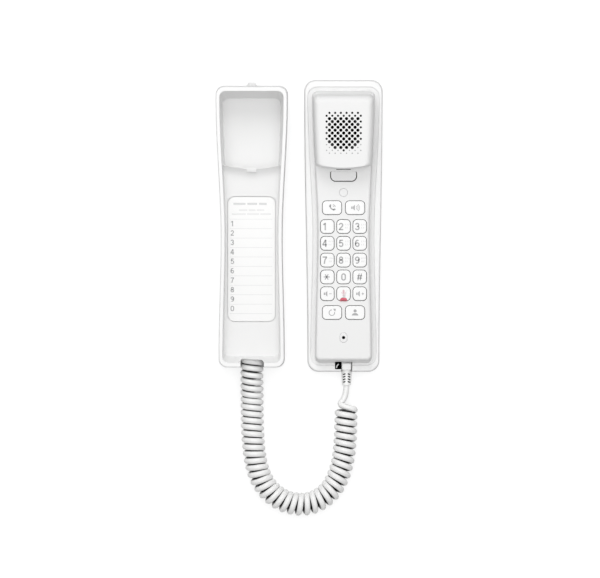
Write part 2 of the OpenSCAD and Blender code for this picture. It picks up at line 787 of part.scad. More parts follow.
// Clear modular plug with its latch, and its boot, both from the boot's small end upwards
module cord_plug() {
    color("gainsboro") difference() {
        union() {
            block([-plug_w / 2, plug_w / 2], [boot_l, boot_l + plug_l], [-plug_h / 2, plug_h / 2]);
            block([-1.6, 1.6], [boot_l + 0.6, boot_l + plug_show - 1.2], [0, plug_h / 2 + 1]);
        }
        for (x = [-1.9, -0.63, 0.63, 1.9])
            block([x - 0.25, x + 0.25], [boot_l + plug_l - 5, boot_l + plug_l + 1],
                  [-plug_h, -plug_h / 2 + 1]);
    }
}

module cord_boot() {
    color("white") rotate([-90, 0, 0]) cylinder(h = boot_l, d1 = boot_tip_d, d2 = boot_d);
}

handset_cord_end = cord_route[len(cord_route) - 1];
cradle_cord_end = cord_route[0];
module at_handset_cord() {
    translate(handset_cord_end) children();
}
module at_cradle_cord() {
    translate(cradle_cord_end) children();
}

module handset_plug() {
    at_handset_cord() cord_plug();
}
module handset_plug_boot() {
    at_handset_cord() cord_boot();
}
module cradle_plug() {
    at_cradle_cord() cord_plug();
}
module cradle_plug_boot() {
    at_cradle_cord() cord_boot();
}
module handset_cord_jack() {
    at_handset_cord() translate([0, boot_l + plug_show, 0])
        cord_jack([shell_t - jack_z, flange_under - groove_d - jack_z]);
}
module cradle_cord_jack() {
    at_cradle_cord() translate([0, boot_l + plug_show, 0])
        cord_jack([plate_t + 2 - cradle_jack_z, tray_under - cradle_jack_z]);
}

// The route as a smooth line, and its running length
route_steps = 8;
function catmull(p, q, r, s, t) =
    (2 * q + (r - p) * t + (2 * p - 5 * q + 4 * r - s) * t * t + (3 * q - p - 3 * r + s) * t * t * t) / 2;
function at(i) = cord_route[min(max(i, 0), len(cord_route) - 1)];
axis = [
    for (i = [0 : len(cord_route) - 2], k = [0 : route_steps - 1])
        catmull(at(i - 1), at(i), at(i + 1), at(i + 2), k / route_steps),
    handset_cord_end
];
function step_after(i) = i + 1 < len(axis) ? norm(axis[i + 1] - axis[i]) : 0;
run = [
    for (i = 0, s = 0; i < len(axis); s = s + step_after(i), i = i + 1) s
];
axis_l = run[len(run) - 1];
function along(s) = [for (c = [0 : 2]) lookup(s, [for (i = [0 : len(axis) - 1]) [run[i], axis[i][c]]])];

// Curls: left-handed turns that open out of a straight lead and close into one again
curl_r = (curl_od - cord_d) / 2;
lead_in = 4.2;
lead_out = 9.8;
lead_turn = 0.75;
lead_run = 9.6;
turn_n = curls + 0.25;
coil_start = lead_in + lead_run;
coil_run = axis_l - lead_in - lead_out - 2 * lead_run;
spread = 0.06;
rings_per_turn = 8;
start_angle = -270;
total_turn = turn_n + 2 * lead_turn;
// Distance along the axis at a number of turns: the curls open slightly towards the handset
function coil_share(u) = u * (1 - spread) + spread * u * u;
function turn_at(u) =
    u < lead_turn ? lead_in + lead_run * u / lead_turn
    : u < lead_turn + turn_n ? coil_start + coil_run * coil_share((u - lead_turn) / turn_n)
    : coil_start + coil_run + lead_run * (u - lead_turn - turn_n) / lead_turn;
function turn_r(u) = curl_r * smooth(u / lead_turn) * smooth((total_turn - u) / lead_turn);
function unit(v) = v / norm(v);
function curl_point(u) =
    let (
        s = turn_at(u),
        t = unit(along(s + 0.5) - along(s - 0.5)),
        n = unit(cross(t, [0, 0, 1])),
        b = cross(n, t),
        a = start_angle + 360 * u
    )
    [along(s) + turn_r(u) * (cos(a) * n + sin(a) * b), cos(a) * n + sin(a) * b];
curl_rings = [for (k = [0 : floor(total_turn * rings_per_turn)]) curl_point(k / rings_per_turn)];
start_hint = curl_rings[0][1];
end_hint = curl_rings[len(curl_rings) - 1][1];
cord_rings = concat(
    [[along(0), start_hint], [along(lead_in * 0.95), start_hint]],
    [for (k = [1 : len(curl_rings) - 2]) curl_rings[k]],
    [
        [along(axis_l - lead_out * 0.98), end_hint], [along(axis_l - cord_d * 1.05), end_hint],
        [along(axis_l), end_hint]
    ]
);
cord_sides = 6;

// Round tube through a list of [centre, hint across the tube]
module tube(rings, d, sides) {
    last = len(rings) - 1;
    points = [
        for (i = [0 : last])
            let (
                c = rings[i][0],
                before = rings[max(i - 1, 0)][0],
                after = rings[min(i + 1, last)][0],
                t = i <= 1 ? unit(rings[1][0] - rings[0][0])
                    : i >= last - 1 ? unit(rings[last][0] - rings[last - 1][0]) : unit(after - before),
                u = unit(rings[i][1] - (rings[i][1] * t) * t),
                v = cross(t, u)
            )
            for (j = [0 : sides - 1]) c + d / 2 * (cos(360 * j / sides) * u + sin(360 * j / sides) * v)
    ];
    walls = [
        for (i = [0 : last - 1], j = [0 : sides - 1])
            let (a = i * sides + j, b = i * sides + (j + 1) % sides)
            each [[a, a + sides, b + sides], [a, b + sides, b]]
    ];
    caps = [
        for (j = [1 : sides - 2])
            each [[0, j, j + 1], [last * sides, last * sides + j + 1, last * sides + j]]
    ];
    polyhedron(points, concat(walls, caps));
}

module curly_cord() {
    color("white") tube(cord_rings, cord_d, cord_sides);
}

// Least gap of the cord to itself, between rings that are at least half a turn apart
half_turn = rings_per_turn / 2;
near_turns = 2 * rings_per_turn;
gaps = [
    for (i = [0 : len(cord_rings) - 1])
        for (j = [i + half_turn : min(i + near_turns, len(cord_rings) - 1)])
            norm(cord_rings[i][0] - cord_rings[j][0]) - cord_d
];
wire_l = [for (i = [1 : len(cord_rings) - 1]) norm(cord_rings[i][0] - cord_rings[i - 1][0])];
function total(list, i = 0, sum = 0) = i == len(list) ? sum : total(list, i + 1, sum + list[i]);
echo(least_gap_of_cord = min(gaps));
echo(axis_length = axis_l, cord_length = total(wire_l), rings = len(cord_rings));

// ---- Nodes ----

handset_rear_shell();
handset_front_shell();
handset_screws();
receiver();
receiver_magnet();
receiver_gasket();
hook_button();
hook_switch();
status_lamp_lens();
keypad_membrane();
handset_board();
microphone();
microphone_boot();
handset_cord_jack();
key("key_line");  // key_line
key("key_speaker");  // key_speaker
key("key_1");  // key_1
key("key_2");  // key_2
key("key_3");  // key_3
key("key_4");  // key_4
key("key_5");  // key_5
key("key_6");  // key_6
key("key_7");  // key_7
key("key_8");  // key_8
key("key_9");  // key_9
key("key_star");  // key_star
key("key_0");  // key_0
key("key_hash");  // key_hash
key("key_volume_down");  // key_volume_down
key("key_mute");  // key_mute
key("key_volume_up");  // key_volume_up
key("key_redial");  // key_redial
key("key_contacts");  // key_contacts
mute_lamp_lens();
cradle_shell();
wall_plate();
cradle_screws();
directory_label();
cradle_board();
line_jack();
cradle_cord_jack();
ringer();
curly_cord();
handset_plug();
handset_plug_boot();
cradle_plug();
cradle_plug_boot();
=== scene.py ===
import bisect
import math

import bmesh
import bpy
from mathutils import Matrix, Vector

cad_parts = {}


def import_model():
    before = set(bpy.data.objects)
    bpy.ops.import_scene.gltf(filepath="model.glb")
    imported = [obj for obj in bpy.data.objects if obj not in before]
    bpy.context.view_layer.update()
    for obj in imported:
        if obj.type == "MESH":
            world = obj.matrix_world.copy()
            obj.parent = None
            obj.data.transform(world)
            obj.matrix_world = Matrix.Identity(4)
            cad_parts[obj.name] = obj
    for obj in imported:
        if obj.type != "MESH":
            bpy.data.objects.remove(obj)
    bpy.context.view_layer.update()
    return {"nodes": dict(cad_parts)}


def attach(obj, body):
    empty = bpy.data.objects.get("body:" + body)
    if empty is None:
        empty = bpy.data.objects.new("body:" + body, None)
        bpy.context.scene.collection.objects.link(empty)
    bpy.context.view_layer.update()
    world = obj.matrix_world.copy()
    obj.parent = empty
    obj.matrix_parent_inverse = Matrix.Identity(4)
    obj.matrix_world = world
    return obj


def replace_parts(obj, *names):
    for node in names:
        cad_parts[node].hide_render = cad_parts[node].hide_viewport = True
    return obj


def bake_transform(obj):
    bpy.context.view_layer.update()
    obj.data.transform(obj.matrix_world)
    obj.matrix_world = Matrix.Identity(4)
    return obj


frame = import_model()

# ---- Sizes, in millimetres unless a name says otherwise ----

MM = 0.001

# The cradle's centre is the origin, and the handset lies beside it
HANDSET_AT = (69.5, 0.8)

# Raised body of the handset, whose waisted outline the cradle's hollow follows
POD_L = 202.5
POD_W_TOP = 47.0
POD_W_WAIST = 39.2
POD_W_FOOT = 42.4
POD_R = 4.5
WAIST_Y = -8.0
STRAIGHT_END = 5.0

# Handset
HANDSET_L = 220.0
HANDSET_W_TOP = 58.6
HANDSET_W_FOOT = 53.7
HANDSET_R = 8.5
SEAM_Z = 8.0
RIM_Z = 15.0
FACE_Z = 23.5
DOME_Z = 37.0
DOME_FOOT = 43.6
DOME_R = 81.0
GROOVE_D = 0.75
RIM_EDGE = 1.2
BODY_FOOT_OUT = 2.3
SIDE_OUT = 0.4
TOP_OUT = 0.9

# Cradle
CRADLE_Z = 32.0
DEEP_Z = 7.0
TRAY_Z = 19.0
TRAY_GAP = 0.5
GROOVE_GAP = 0.25
CRADLE_WALL = 2.8
CRADLE_END = 3.4
STEP_GAP = -0.4
CRADLE_TOP_OUT = 0.5
CRADLE_FOOT_OUT = 0.6
SKIRT_OUT = 0.6
SKIRT_TOP_OUT = 1.9
SKIRT_LOW = 0.4
SKIRT_HIGH = 2.4
SKIRT_IN = 1.6
CRADLE_R = 6.5
CRADLE_EDGE = 1.0
CRADLE_EDGE_IN = 0.6
NOTCH_X = 0.5
NOTCH_Z = 3.05
NOTCH_W = 17.7
NOTCH_Y = -99.9
NOTCH_R = 2.4
NOTCH_SLANT = 0.07

# Steps of an outline's corners and sides, and of a rounded edge
CORNER_STEPS = 10
SIDE_STEPS = 36
EDGE_STEPS = 5

# How strongly a broad face bends the shading of its edges, in percent
FLATNESS = 80

# Camera, in metres: its target, its height, and the width that it sees at a level above the floor
VIEW_CENTRE = (0.0366, -0.0468)
VIEW_HEIGHT = 4.0
VIEW_LEVEL = 0.015
VIEW_WIDTH = 0.4542


def mix(a, b, t):
    return a + (b - a) * t


def smooth(t):
    t = min(max(t, 0.0), 1.0)
    return t * t * (3 - 2 * t)


def pod_half(y):
    """Half the raised body's width at a distance from its centre."""
    reach = POD_L / 2 - STRAIGHT_END
    if y > WAIST_Y:
        return mix(POD_W_WAIST, POD_W_TOP, smooth((y - WAIST_Y) / (reach - WAIST_Y))) / 2
    return mix(POD_W_WAIST, POD_W_FOOT, smooth((WAIST_Y - y) / (reach + WAIST_Y))) / 2


def handset_half(y):
    """Half the handset's width at a distance from its centre."""
    reach = HANDSET_L / 2 - 2 * STRAIGHT_END
    return mix(HANDSET_W_FOOT, HANDSET_W_TOP, smooth((y + reach) / (2 * reach))) / 2


# ---- Outlines, and solids through stacks of outlines ----

def oval(centre, across, along, start, stop, steps=18):
    """Points of part of an ellipse between two angles in degrees."""
    angles = [math.radians(mix(start, stop, i / steps)) for i in range(steps + 1)]
    return [(centre[0] + across * math.cos(a), centre[1] + along * math.sin(a)) for a in angles]


def arc(centre, radius, start, stop, steps):
    """Points of an arc between two angles in degrees, both ends included."""
    return oval(centre, radius, radius, start, stop, steps)


def mirrored(right):
    """A closed outline from its right-hand edge, which runs from the foot to the top."""
    return right + [(-x, y) for x, y in reversed(right)]


def outline(kind, corner, grow):
    """Outline of the raised body or the handset; grow moves the sides, the top and the foot out."""
    half, length = (pod_half, POD_L) if kind == "pod" else (handset_half, HANDSET_L)
    r = max(corner, 0.3)
    top = length / 2 + grow[1]
    foot = -length / 2 - grow[2]
    low = arc((half(foot + r) + grow[0] - r, foot + r), r, -90, 0, CORNER_STEPS)
    high = arc((half(top - r) + grow[0] - r, top - r), r, 0, 90, CORNER_STEPS)
    heights = [mix(foot + r, top - r, i / SIDE_STEPS) for i in range(1, SIDE_STEPS)]
    return mirrored(low + [(half(y) + grow[0], y) for y in heights] + high)


def dome_outline(sides, top_in, arc_in, top_r, foot_r):
    """Outline of the earpiece dome: the raised body's sides and top, and an arc for its foot."""
    centre_y = DOME_FOOT + DOME_R
    radius = DOME_R - arc_in
    corner_y = DOME_FOOT + foot_r
    for _ in range(4):
        corner_x = pod_half(corner_y) + sides - foot_r
        corner_y = centre_y - math.sqrt((radius - foot_r) ** 2 - corner_x ** 2)
    turn = math.degrees(math.atan2(corner_y - centre_y, corner_x))
    foot = arc((0, centre_y), radius, -90, turn, 24)
    low = arc((corner_x, corner_y), foot_r, turn, 0, 8)[1:]
    top = POD_L / 2 + top_in
    high = arc((pod_half(top - top_r) + sides - top_r, top - top_r), top_r, 0, 90, CORNER_STEPS)
    heights = [mix(corner_y, top - top_r, i / 20) for i in range(1, 20)]
    return mirrored(foot[1:] + low + [(pod_half(y) + sides, y) for y in heights] + high)


def rounded(width, length, radius):
    """Rectangle with round corners about the origin."""
    x, y = width / 2 - radius, length / 2 - radius
    points = []
    for cx, cy, start in ((x, -y, -90), (x, y, 0), (-x, y, 90), (-x, -y, 180)):
        points += arc((cx, cy), radius, start, start + 90, 7)
    return points


def circle(radius, steps=32):
    return arc((0, 0), radius, 0, 360 * (1 - 1 / steps), steps - 1)


def all_round(g):
    return (g, g, g)


def seam_grow(extra):
    """How far the handset's sides, top and foot stand out at its seam."""
    return (SIDE_OUT + extra, TOP_OUT + extra, SIDE_OUT + extra)


def quarter(steps):
    """A quarter circle of radius 1 that starts upwards: how far along and how far up it has come."""
    turns = [math.pi / 2 * i / steps for i in range(steps + 1)]
    return [(1 - math.cos(t), math.sin(t)) for t in turns]


def bend(a, b, shape, steps=EDGE_STEPS):
    """Levels of a rounded edge. "over" leaves a wall and ends flat; "under" leaves flat, ends as wall."""
    levels = []
    for along, up in quarter(steps):
        if shape == "under":
            along, up = up, along
        grow = tuple(mix(p, q, along) for p, q in zip(a[2], b[2]))
        levels.append((mix(a[0], b[0], up), mix(a[1], b[1], along), grow))
    return levels


def placed(points, z, at=(0, 0)):
    return [(x + at[0], y + at[1], z) for x, y in points]


def on_handset(x, y):
    """A place on the handset, seen from the scene's origin."""
    return x + HANDSET_AT[0], y + HANDSET_AT[1]


def skin(bm, rings, colours=None):
    """Adds a closed skin over rings of points in millimetres; colours gives each band's slot."""
    rows = [[bm.verts.new(Vector(p) * MM) for p in ring] for ring in rings]
    count = len(rows[0])
    colours = colours or [0] * (len(rows) - 1)
    for k in range(len(rows) - 1):
        for i in range(count):
            j = (i + 1) % count
            face = bm.faces.new((rows[k][i], rows[k][j], rows[k + 1][j], rows[k + 1][i]))
            face.material_index = colours[k]
    bm.faces.new(rows[0][::-1]).material_index = colours[0]
    bm.faces.new(rows[-1]).material_index = colours[-1]


def finished(name, bm, *materials, smooth_to=32):
    """An object from a bmesh, with outward normals and smooth faces up to an angle in degrees."""
    bmesh.ops.recalc_face_normals(bm, faces=bm.faces)
    mesh = bpy.data.meshes.new(name)
    bm.to_mesh(mesh)
    bm.free()
    for material in materials:
        mesh.materials.append(material)
    piece = bpy.data.objects.new(name, mesh)
    bpy.context.collection.objects.link(piece)
    soften(piece, smooth_to)
    return piece


def soften(piece, angle=32):
    """Smooth shading up to an angle, with flat faces kept flat beside their rounded edges."""
    piece.data.shade_smooth()
    piece.data.set_sharp_from_angle(angle=math.radians(angle))


def solid(name, rings, *materials, colours=None, smooth_to=32):
    """A piece with one closed skin over rings of points."""
    bm = bmesh.new()
    skin(bm, rings, colours)
    return finished(name, bm, *materials, smooth_to=smooth_to)


def applied(piece):
    """The piece with its modifiers made part of its mesh."""
    depsgraph = bpy.context.evaluated_depsgraph_get()
    mesh = bpy.data.meshes.new_from_object(piece.evaluated_get(depsgraph), depsgraph=depsgraph)
    old = piece.data
    piece.modifiers.clear()
    piece.data = mesh
    mesh.name = piece.name
    bpy.data.meshes.remove(old)
    return piece


def weighted(piece):
    """Keeps broad faces flat-shaded beside their rounded edges."""
    normals = piece.modifiers.new("normals", "WEIGHTED_NORMAL")
    normals.keep_sharp = True
    normals.weight = FLATNESS
    return applied(piece)


def lofted(name, levels, *materials, at=(0, 0), colours=None):
    """Solid through levels of (kind, height, corner radius, growth)."""
    rings = [placed(outline(kind, r, grow), z, at) for kind, z, r, grow in levels]
    return solid(name, rings, *materials, colours=colours)


def of_kind(kind, levels):
    return [(kind,) + tuple(level) for level in levels]


def cut(piece, *cutters, operation="DIFFERENCE"):
    """Cuts solids out of a piece, or joins them to it, and removes them."""
    for cutter in cutters:
        boolean = piece.modifiers.new("cut", "BOOLEAN")
        boolean.operation = operation
        boolean.solver = "EXACT"
        boolean.material_mode = "TRANSFER"
        boolean.object = cutter
    applied(piece)
    for cutter in cutters:
        bpy.data.objects.remove(cutter)
    soften(piece)
    return piece


def prism(name, outlines, *materials, at=(0, 0), colours=None):
    """Solid through (outline, height) pairs."""
    return solid(name, [placed(points, z, at) for points, z in outlines], *materials, colours=colours)


def joined(name, pieces):
    """One object from several, without Blender's operators."""
    bm = bmesh.new()
    materials = []
    for piece in pieces:
        part = piece.data.copy()
        for polygon in part.polygons:
            material = piece.data.materials[polygon.material_index]
            if material not in materials:
                materials.append(material)
            polygon.material_index = materials.index(material)
        bm.from_mesh(part)
        bpy.data.meshes.remove(part)
        bpy.data.objects.remove(piece)
    return finished(name, bm, *materials)


# ---- Camera ----

def camera():
    """Looks straight down on the phone as it lies on its back, through a long lens."""
    data = bpy.data.cameras.new("camera")
    data.sensor_fit = "HORIZONTAL"
    data.sensor_width = 36
    data.lens = data.sensor_width * (VIEW_HEIGHT - VIEW_LEVEL) / VIEW_WIDTH
    data.clip_end = 20
    eye = bpy.data.objects.new("camera", data)
    eye.location = (*VIEW_CENTRE, VIEW_HEIGHT)
    bpy.context.collection.objects.link(eye)
    bpy.context.scene.camera = eye


# ---- Nodes ----

def feed(tree, node, *in_order, **by_name):
    """Links a node's inputs from other sockets, or sets their values; _ in a name stands for a space."""
    pairs = list(zip(node.inputs, in_order))
    pairs += [(node.inputs[label.replace("_", " ")], value) for label, value in by_name.items()]
    for socket, value in pairs:
        if isinstance(value, bpy.types.NodeSocket):
            tree.links.new(value, socket)
        else:
            socket.default_value = value


def add(tree, kind, *in_order, settings=None, **by_name):
    """A new node, with its settings made before its inputs."""
    node = tree.nodes.new(kind)
    for label, value in (settings or {}).items():
        setattr(node, label, value)
    feed(tree, node, *in_order, **by_name)
    return node


def group(name, inputs, outputs, kind="ShaderNodeTree"):
    """An empty node group with named sockets, and its two end nodes."""
    tree = bpy.data.node_groups.new(name, kind)
    for label, socket_type, value in inputs:
        socket = tree.interface.new_socket(label, in_out="INPUT", socket_type=socket_type)
        if value is not None:
            socket.default_value = value
    for label, socket_type in outputs:
        tree.interface.new_socket(label, in_out="OUTPUT", socket_type=socket_type)
    return tree, tree.nodes.new("NodeGroupInput"), tree.nodes.new("NodeGroupOutput")


def grey(level):
    return (level, level, level, 1)


# ---- Materials ----

# Noise waves a metre in a moulding's colour, and a bump's height in metres
FLOW_SIZE = 14
BUMP_HEIGHT = 0.0001

# Painted shade on the cord's jacket starts and is full at these values of "inward"
PAINTED_SHADE_START = -0.45
PAINTED_SHADE_FULL = -0.05
PAINTED_SHADE_LEVEL = 0.03


def moulded_surface():
    """Fine moulding grain, faint flow in the colour and a slightly uneven gloss."""
    tree, given, made = group(
        "moulded_surface",
        [("Vector", "NodeSocketVector", (0, 0, 0)),
         ("Light", "NodeSocketColor", grey(0.9)),
         ("Deep", "NodeSocketColor", grey(0.85)),
         ("Grain Size", "NodeSocketFloat", 3000.0),
         ("Gloss Low", "NodeSocketFloat", 0.3),
         ("Gloss High", "NodeSocketFloat", 0.4)],
        [("Colour", "NodeSocketColor"), ("Roughness", "NodeSocketFloat"), ("Height", "NodeSocketFloat")],
    )
    place = given.outputs["Vector"]
    flow = add(tree, "ShaderNodeTexNoise", Scale=FLOW_SIZE, Detail=3, Vector=place).outputs["Fac"]
    tone = add(tree, "ShaderNodeMix", settings={"data_type": "RGBA"},
               Factor=flow, A=given.outputs["Light"], B=given.outputs["Deep"])
    grain = add(tree, "ShaderNodeTexNoise", Detail=2, Vector=place, Scale=given.outputs["Grain Size"])
    gloss = add(tree, "ShaderNodeMapRange", Value=flow,
                To_Min=given.outputs["Gloss Low"], To_Max=given.outputs["Gloss High"])
    feed(tree, made, Colour=tone.outputs["Result"], Roughness=gloss.outputs["Result"],
         Height=grain.outputs["Fac"])
    return tree


MOULDED = moulded_surface()


def plastic(name, light, deep, gloss=(0.3, 0.4), grain=3000.0, bump=0.02, **constants):
    """A moulded material; constants are set on the Principled BSDF's own sockets."""
    material = bpy.data.materials.new(name)
    material.use_nodes = True
    tree = material.node_tree
    place = add(tree, "ShaderNodeTexCoord")
    surface = add(tree, "ShaderNodeGroup", settings={"node_tree": MOULDED}, Vector=place.outputs["Object"],
                  Light=(*light, 1), Deep=(*deep, 1), Grain_Size=grain,
                  Gloss_Low=gloss[0], Gloss_High=gloss[1])
    relief = add(tree, "ShaderNodeBump", Strength=bump, Distance=BUMP_HEIGHT,
                 Height=surface.outputs["Height"])
    feed(tree, tree.nodes["Principled BSDF"], Base_Color=surface.outputs["Colour"],
         Roughness=surface.outputs["Roughness"], Normal=relief.outputs["Normal"], **constants)
    return material


def with_painted_shade(material):
    """Paints shade on a cord's jacket: darker everywhere but on the outer side of its curls."""
    tree = material.node_tree
    shader = tree.nodes["Principled BSDF"]
    inward = add(tree, "ShaderNodeAttribute", settings={"attribute_name": "inward"})
    mask = add(tree, "ShaderNodeMapRange", From_Min=PAINTED_SHADE_START, From_Max=PAINTED_SHADE_FULL,
               Value=inward.outputs["Fac"])
    unshaded_colour = shader.inputs["Base Color"].links[0].from_socket
    shaded_colour = add(tree, "ShaderNodeMix", settings={"data_type": "RGBA"},
                Factor=mask.outputs["Result"], A=unshaded_colour, B=grey(PAINTED_SHADE_LEVEL))
    feed(tree, shader, Base_Color=shaded_colour.outputs["Result"])
    return material


WHITE = plastic("white_shell_plastic", (0.8, 0.8, 0.798), (0.785, 0.785, 0.783), (0.46, 0.54),
                Specular_IOR_Level=0.3)
# Lighter copy of the shell plastic for the rims' top bands: a painted highlight, with a real, slightly higher
# gloss
RIM_WHITE_PAINTED_HIGHLIGHT = plastic("glossier_rim_plastic_painted_highlight", (0.86, 0.86, 0.858), (0.845, 0.845, 0.843), (0.36, 0.44),
                    Specular_IOR_Level=0.3)
KEY_WHITE = plastic("key_plastic", (0.88, 0.88, 0.878), (0.865, 0.865, 0.863), (0.46, 0.54))
CORD_WHITE = plastic("boot_plastic", (0.93, 0.93, 0.925), (0.9, 0.9, 0.895), (0.32, 0.44),
                     grain=1500.0, bump=0.05)
# The cord's jacket carries painted shade between its curls
CORD_JACKET = with_painted_shade(plastic("cord_jacket", (0.88, 0.88, 0.875), (0.85, 0.85, 0.845), (0.34, 0.44),
                             grain=1500.0, bump=0.05))
# Black plastic of the inner parts, also used as painted shade inside the boots' slots
BLACK_AND_SLOT_SHADE = plastic("black_plastic", (0.012, 0.012, 0.012), (0.008, 0.008, 0.008), (0.45, 0.6))
# Near-black painted shade for the walls of holes, slots and mouths in the white shells
PAINTED_SHADE_BLACK = plastic("black_painted_shade", (0.004, 0.004, 0.004), (0.002, 0.002, 0.002), (0.9, 1.0),
                 Specular_IOR_Level=0.0)
RUBBER = plastic("grey_rubber", (0.05, 0.05, 0.052), (0.04, 0.04, 0.042), (0.7, 0.85), bump=0.1)
BOARD = plastic("board_laminate", (0.02, 0.11, 0.05), (0.015, 0.08, 0.035), (0.35, 0.5))
LEGEND = plastic("legend_ink", (0.4, 0.4, 0.405), (0.37, 0.37, 0.375), (0.5, 0.6))
PALE_LEGEND = plastic("pale_legend_ink", (0.64, 0.64, 0.645), (0.6, 0.6, 0.605), (0.5, 0.6))
MUTE_LEGEND = plastic("mute_legend_ink", (0.72, 0.48, 0.52), (0.66, 0.44, 0.48), (0.5, 0.6))
CLEAR = plastic("clear_plug_plastic", (0.93, 0.935, 0.935), (0.9, 0.905, 0.905), (0.1, 0.18),
                Transmission_Weight=0.12)
LENS = plastic("frosted_lens", (0.8, 0.8, 0.8), (0.78, 0.78, 0.78), (0.4, 0.5), Specular_IOR_Level=0.3)
RED_LENS = plastic("red_lens", (0.74, 0.06, 0.13), (0.68, 0.045, 0.1), (0.12, 0.2),
                   Transmission_Weight=0.1)
# Darker copy of the red lens: painted shade along the lens's foot
RED_LENS_PAINTED_SHADE = plastic("red_lens_painted_shade", (0.3, 0.012, 0.03), (0.26, 0.01, 0.025), (0.12, 0.2))
PAPER = plastic("label_card", (0.88, 0.88, 0.875), (0.86, 0.86, 0.855), (0.75, 0.85),
                grain=1200.0, bump=0.08)
STEEL = plastic("screw_steel", (0.56, 0.56, 0.57), (0.48, 0.48, 0.49), (0.22, 0.34), Metallic=1.0)
GOLD = plastic("gold_contact", (0.9, 0.62, 0.22), (0.8, 0.52, 0.17), (0.15, 0.25), Metallic=1.0)
# Grey painted shade inside the grille's shallow dents
DENT_PAINTED_SHADE = plastic("grille_dent", (0.45, 0.45, 0.45), (0.42, 0.42, 0.42), (0.4, 0.5))


# ---- Stage ----

# Sizes and places here are in metres
FLOOR_LEVEL = 0.36
FLOOR_GLOW = 0.74
FLOOR_REACH = 4.0
FLOOR_Z = -0.0002

# The world's colour ramp: the share of the way up, and the grey there
HORIZON = (0.05, 0.33)
ZENITH = (0.95, 0.8)

LAMPS_AIM = (0.035, 0, 0)


def floor():
    """White ground that keeps a soft shadow: a diffuse part, topped up where it is seen directly."""
    material = bpy.data.materials.new("floor")
    material.use_nodes = True
    tree = material.node_tree
    tree.nodes.clear()
    path = add(tree, "ShaderNodeLightPath")
    seen = path.outputs["Is Camera Ray"]
    for ray in ("Is Glossy Ray", "Is Transmission Ray"):
        seen = add(tree, "ShaderNodeMath", seen, path.outputs[ray],
                   settings={"operation": "MAXIMUM"}).outputs[0]
    level = add(tree, "ShaderNodeMath", seen, FLOOR_GLOW, settings={"operation": "MULTIPLY"})
    diffuse = add(tree, "ShaderNodeBsdfDiffuse", Color=grey(FLOOR_LEVEL))
    glow = add(tree, "ShaderNodeEmission", Strength=level.outputs[0])
    both = add(tree, "ShaderNodeAddShader", diffuse.outputs[0], glow.outputs[0])
    add(tree, "ShaderNodeOutputMaterial", Surface=both.outputs[0])
    bm = bmesh.new()
    bm.faces.new([bm.verts.new((x * FLOOR_REACH, y * FLOOR_REACH, FLOOR_Z))
                  for x, y in ((-1, -1), (1, -1), (1, 1), (-1, 1))])
    finished("floor", bm, material)


def world():
    """Bright overhead and dim at the horizon, white where it is seen directly."""
    sky = bpy.data.worlds.new("studio")
    bpy.context.scene.world = sky
    sky.use_nodes = True
    tree = sky.node_tree
    place = add(tree, "ShaderNodeTexCoord")
    split = add(tree, "ShaderNodeSeparateXYZ", place.outputs["Generated"])
    ramp = add(tree, "ShaderNodeValToRGB", split.outputs["Z"])
    for element, (position, level) in zip(ramp.color_ramp.elements, (HORIZON, ZENITH)):
        element.position = position
        element.color = grey(level)
    path = add(tree, "ShaderNodeLightPath")
    seen = add(tree, "ShaderNodeMix", settings={"data_type": "RGBA"},
               Factor=path.outputs["Is Camera Ray"], A=ramp.outputs["Color"], B=grey(1))
    feed(tree, tree.nodes["Background"], seen.outputs["Result"])


def lamp(name, place, size, power):
    data = bpy.data.lights.new(name, "AREA")
    data.shape = "DISK"
    data.size = size
    data.energy = power
    light = bpy.data.objects.new(name, data)
    light.location = place
    light.rotation_euler = (Vector(LAMPS_AIM) - Vector(place)).to_track_quat("-Z", "Y").to_euler()
    bpy.context.collection.objects.link(light)


def lights():
    lamp("top_light", (-0.12, 1.05, 0.95), 0.8, 6.1)
    lamp("overhead_light", (0.03, 0.05, 1.3), 1.0, 5.0)


# ---- Curly cord ----

CORD_D = 4.6
CURL_OD = 17.6
CURLS = 42
RINGS_PER_TURN = 16
CORD_SIDES = 12

# Straight leads at the cradle and the handset, and the runs over which the curls grow and shrink
LEAD_IN = 2.7
LEAD_OUT = 7.9
RUN_IN = 9.6
RUN_OUT = 7.8

# Rings at the handset's end that are eased into a smooth bend, and how many times
EASE_RINGS = 22
EASE_PASSES = 18

# In turns: the growth of the first curl, the length of each run, and the first and last curls, which get no
# painted shade
GROW_TURN = 0.55
RUN_TURN = 0.75
FIRST_CURL = 1.2
LAST_CURL = 0.4

# The first curl's angle in degrees, and how much wider apart the curls get towards the handset
START_ANGLE = -270
SPREAD = 0.045

# How much further out the painted shade reaches at the cradle
PAINTED_SHADE_AT_CRADLE = 0.14

# Axis of the cord, from the cradle plug's boot to the handset plug's boot
CORD_ROUTE = [
    (0.2, -88, 12), (0.2, -94, 12), (0.2, -101, 12), (0.2, -110, 11.6), (0.2, -120, 10.4),
    (0.3, -131, 9.1), (0.4, -143, 8.8), (0.7, -154, 8.8), (1.4, -165, 8.8), (3.1, -177.5, 8.8),
    (7.1, -190.2, 8.8), (14.6, -200.8, 8.8), (25.6, -207.8, 8.8), (38, -210, 8.8),
    (49.8, -207.1, 8.8), (59.6, -199.2, 8.8), (65.6, -188.6, 8.8), (69.2, -176, 8.8),
    (70.7, -163, 8.8), (71.2, -152, 8.8), (71.5, -141, 8.8), (71.9, -132, 7.9),
    (71.9, -126, 7.9), (71.9, -119.8, 7.9),
]


def catmull(p, q, r, s, t):
    return (2 * q + (r - p) * t + (2 * p - 5 * q + 4 * r - s) * t ** 2 + (3 * q - p - 3 * r + s) * t ** 3) / 2


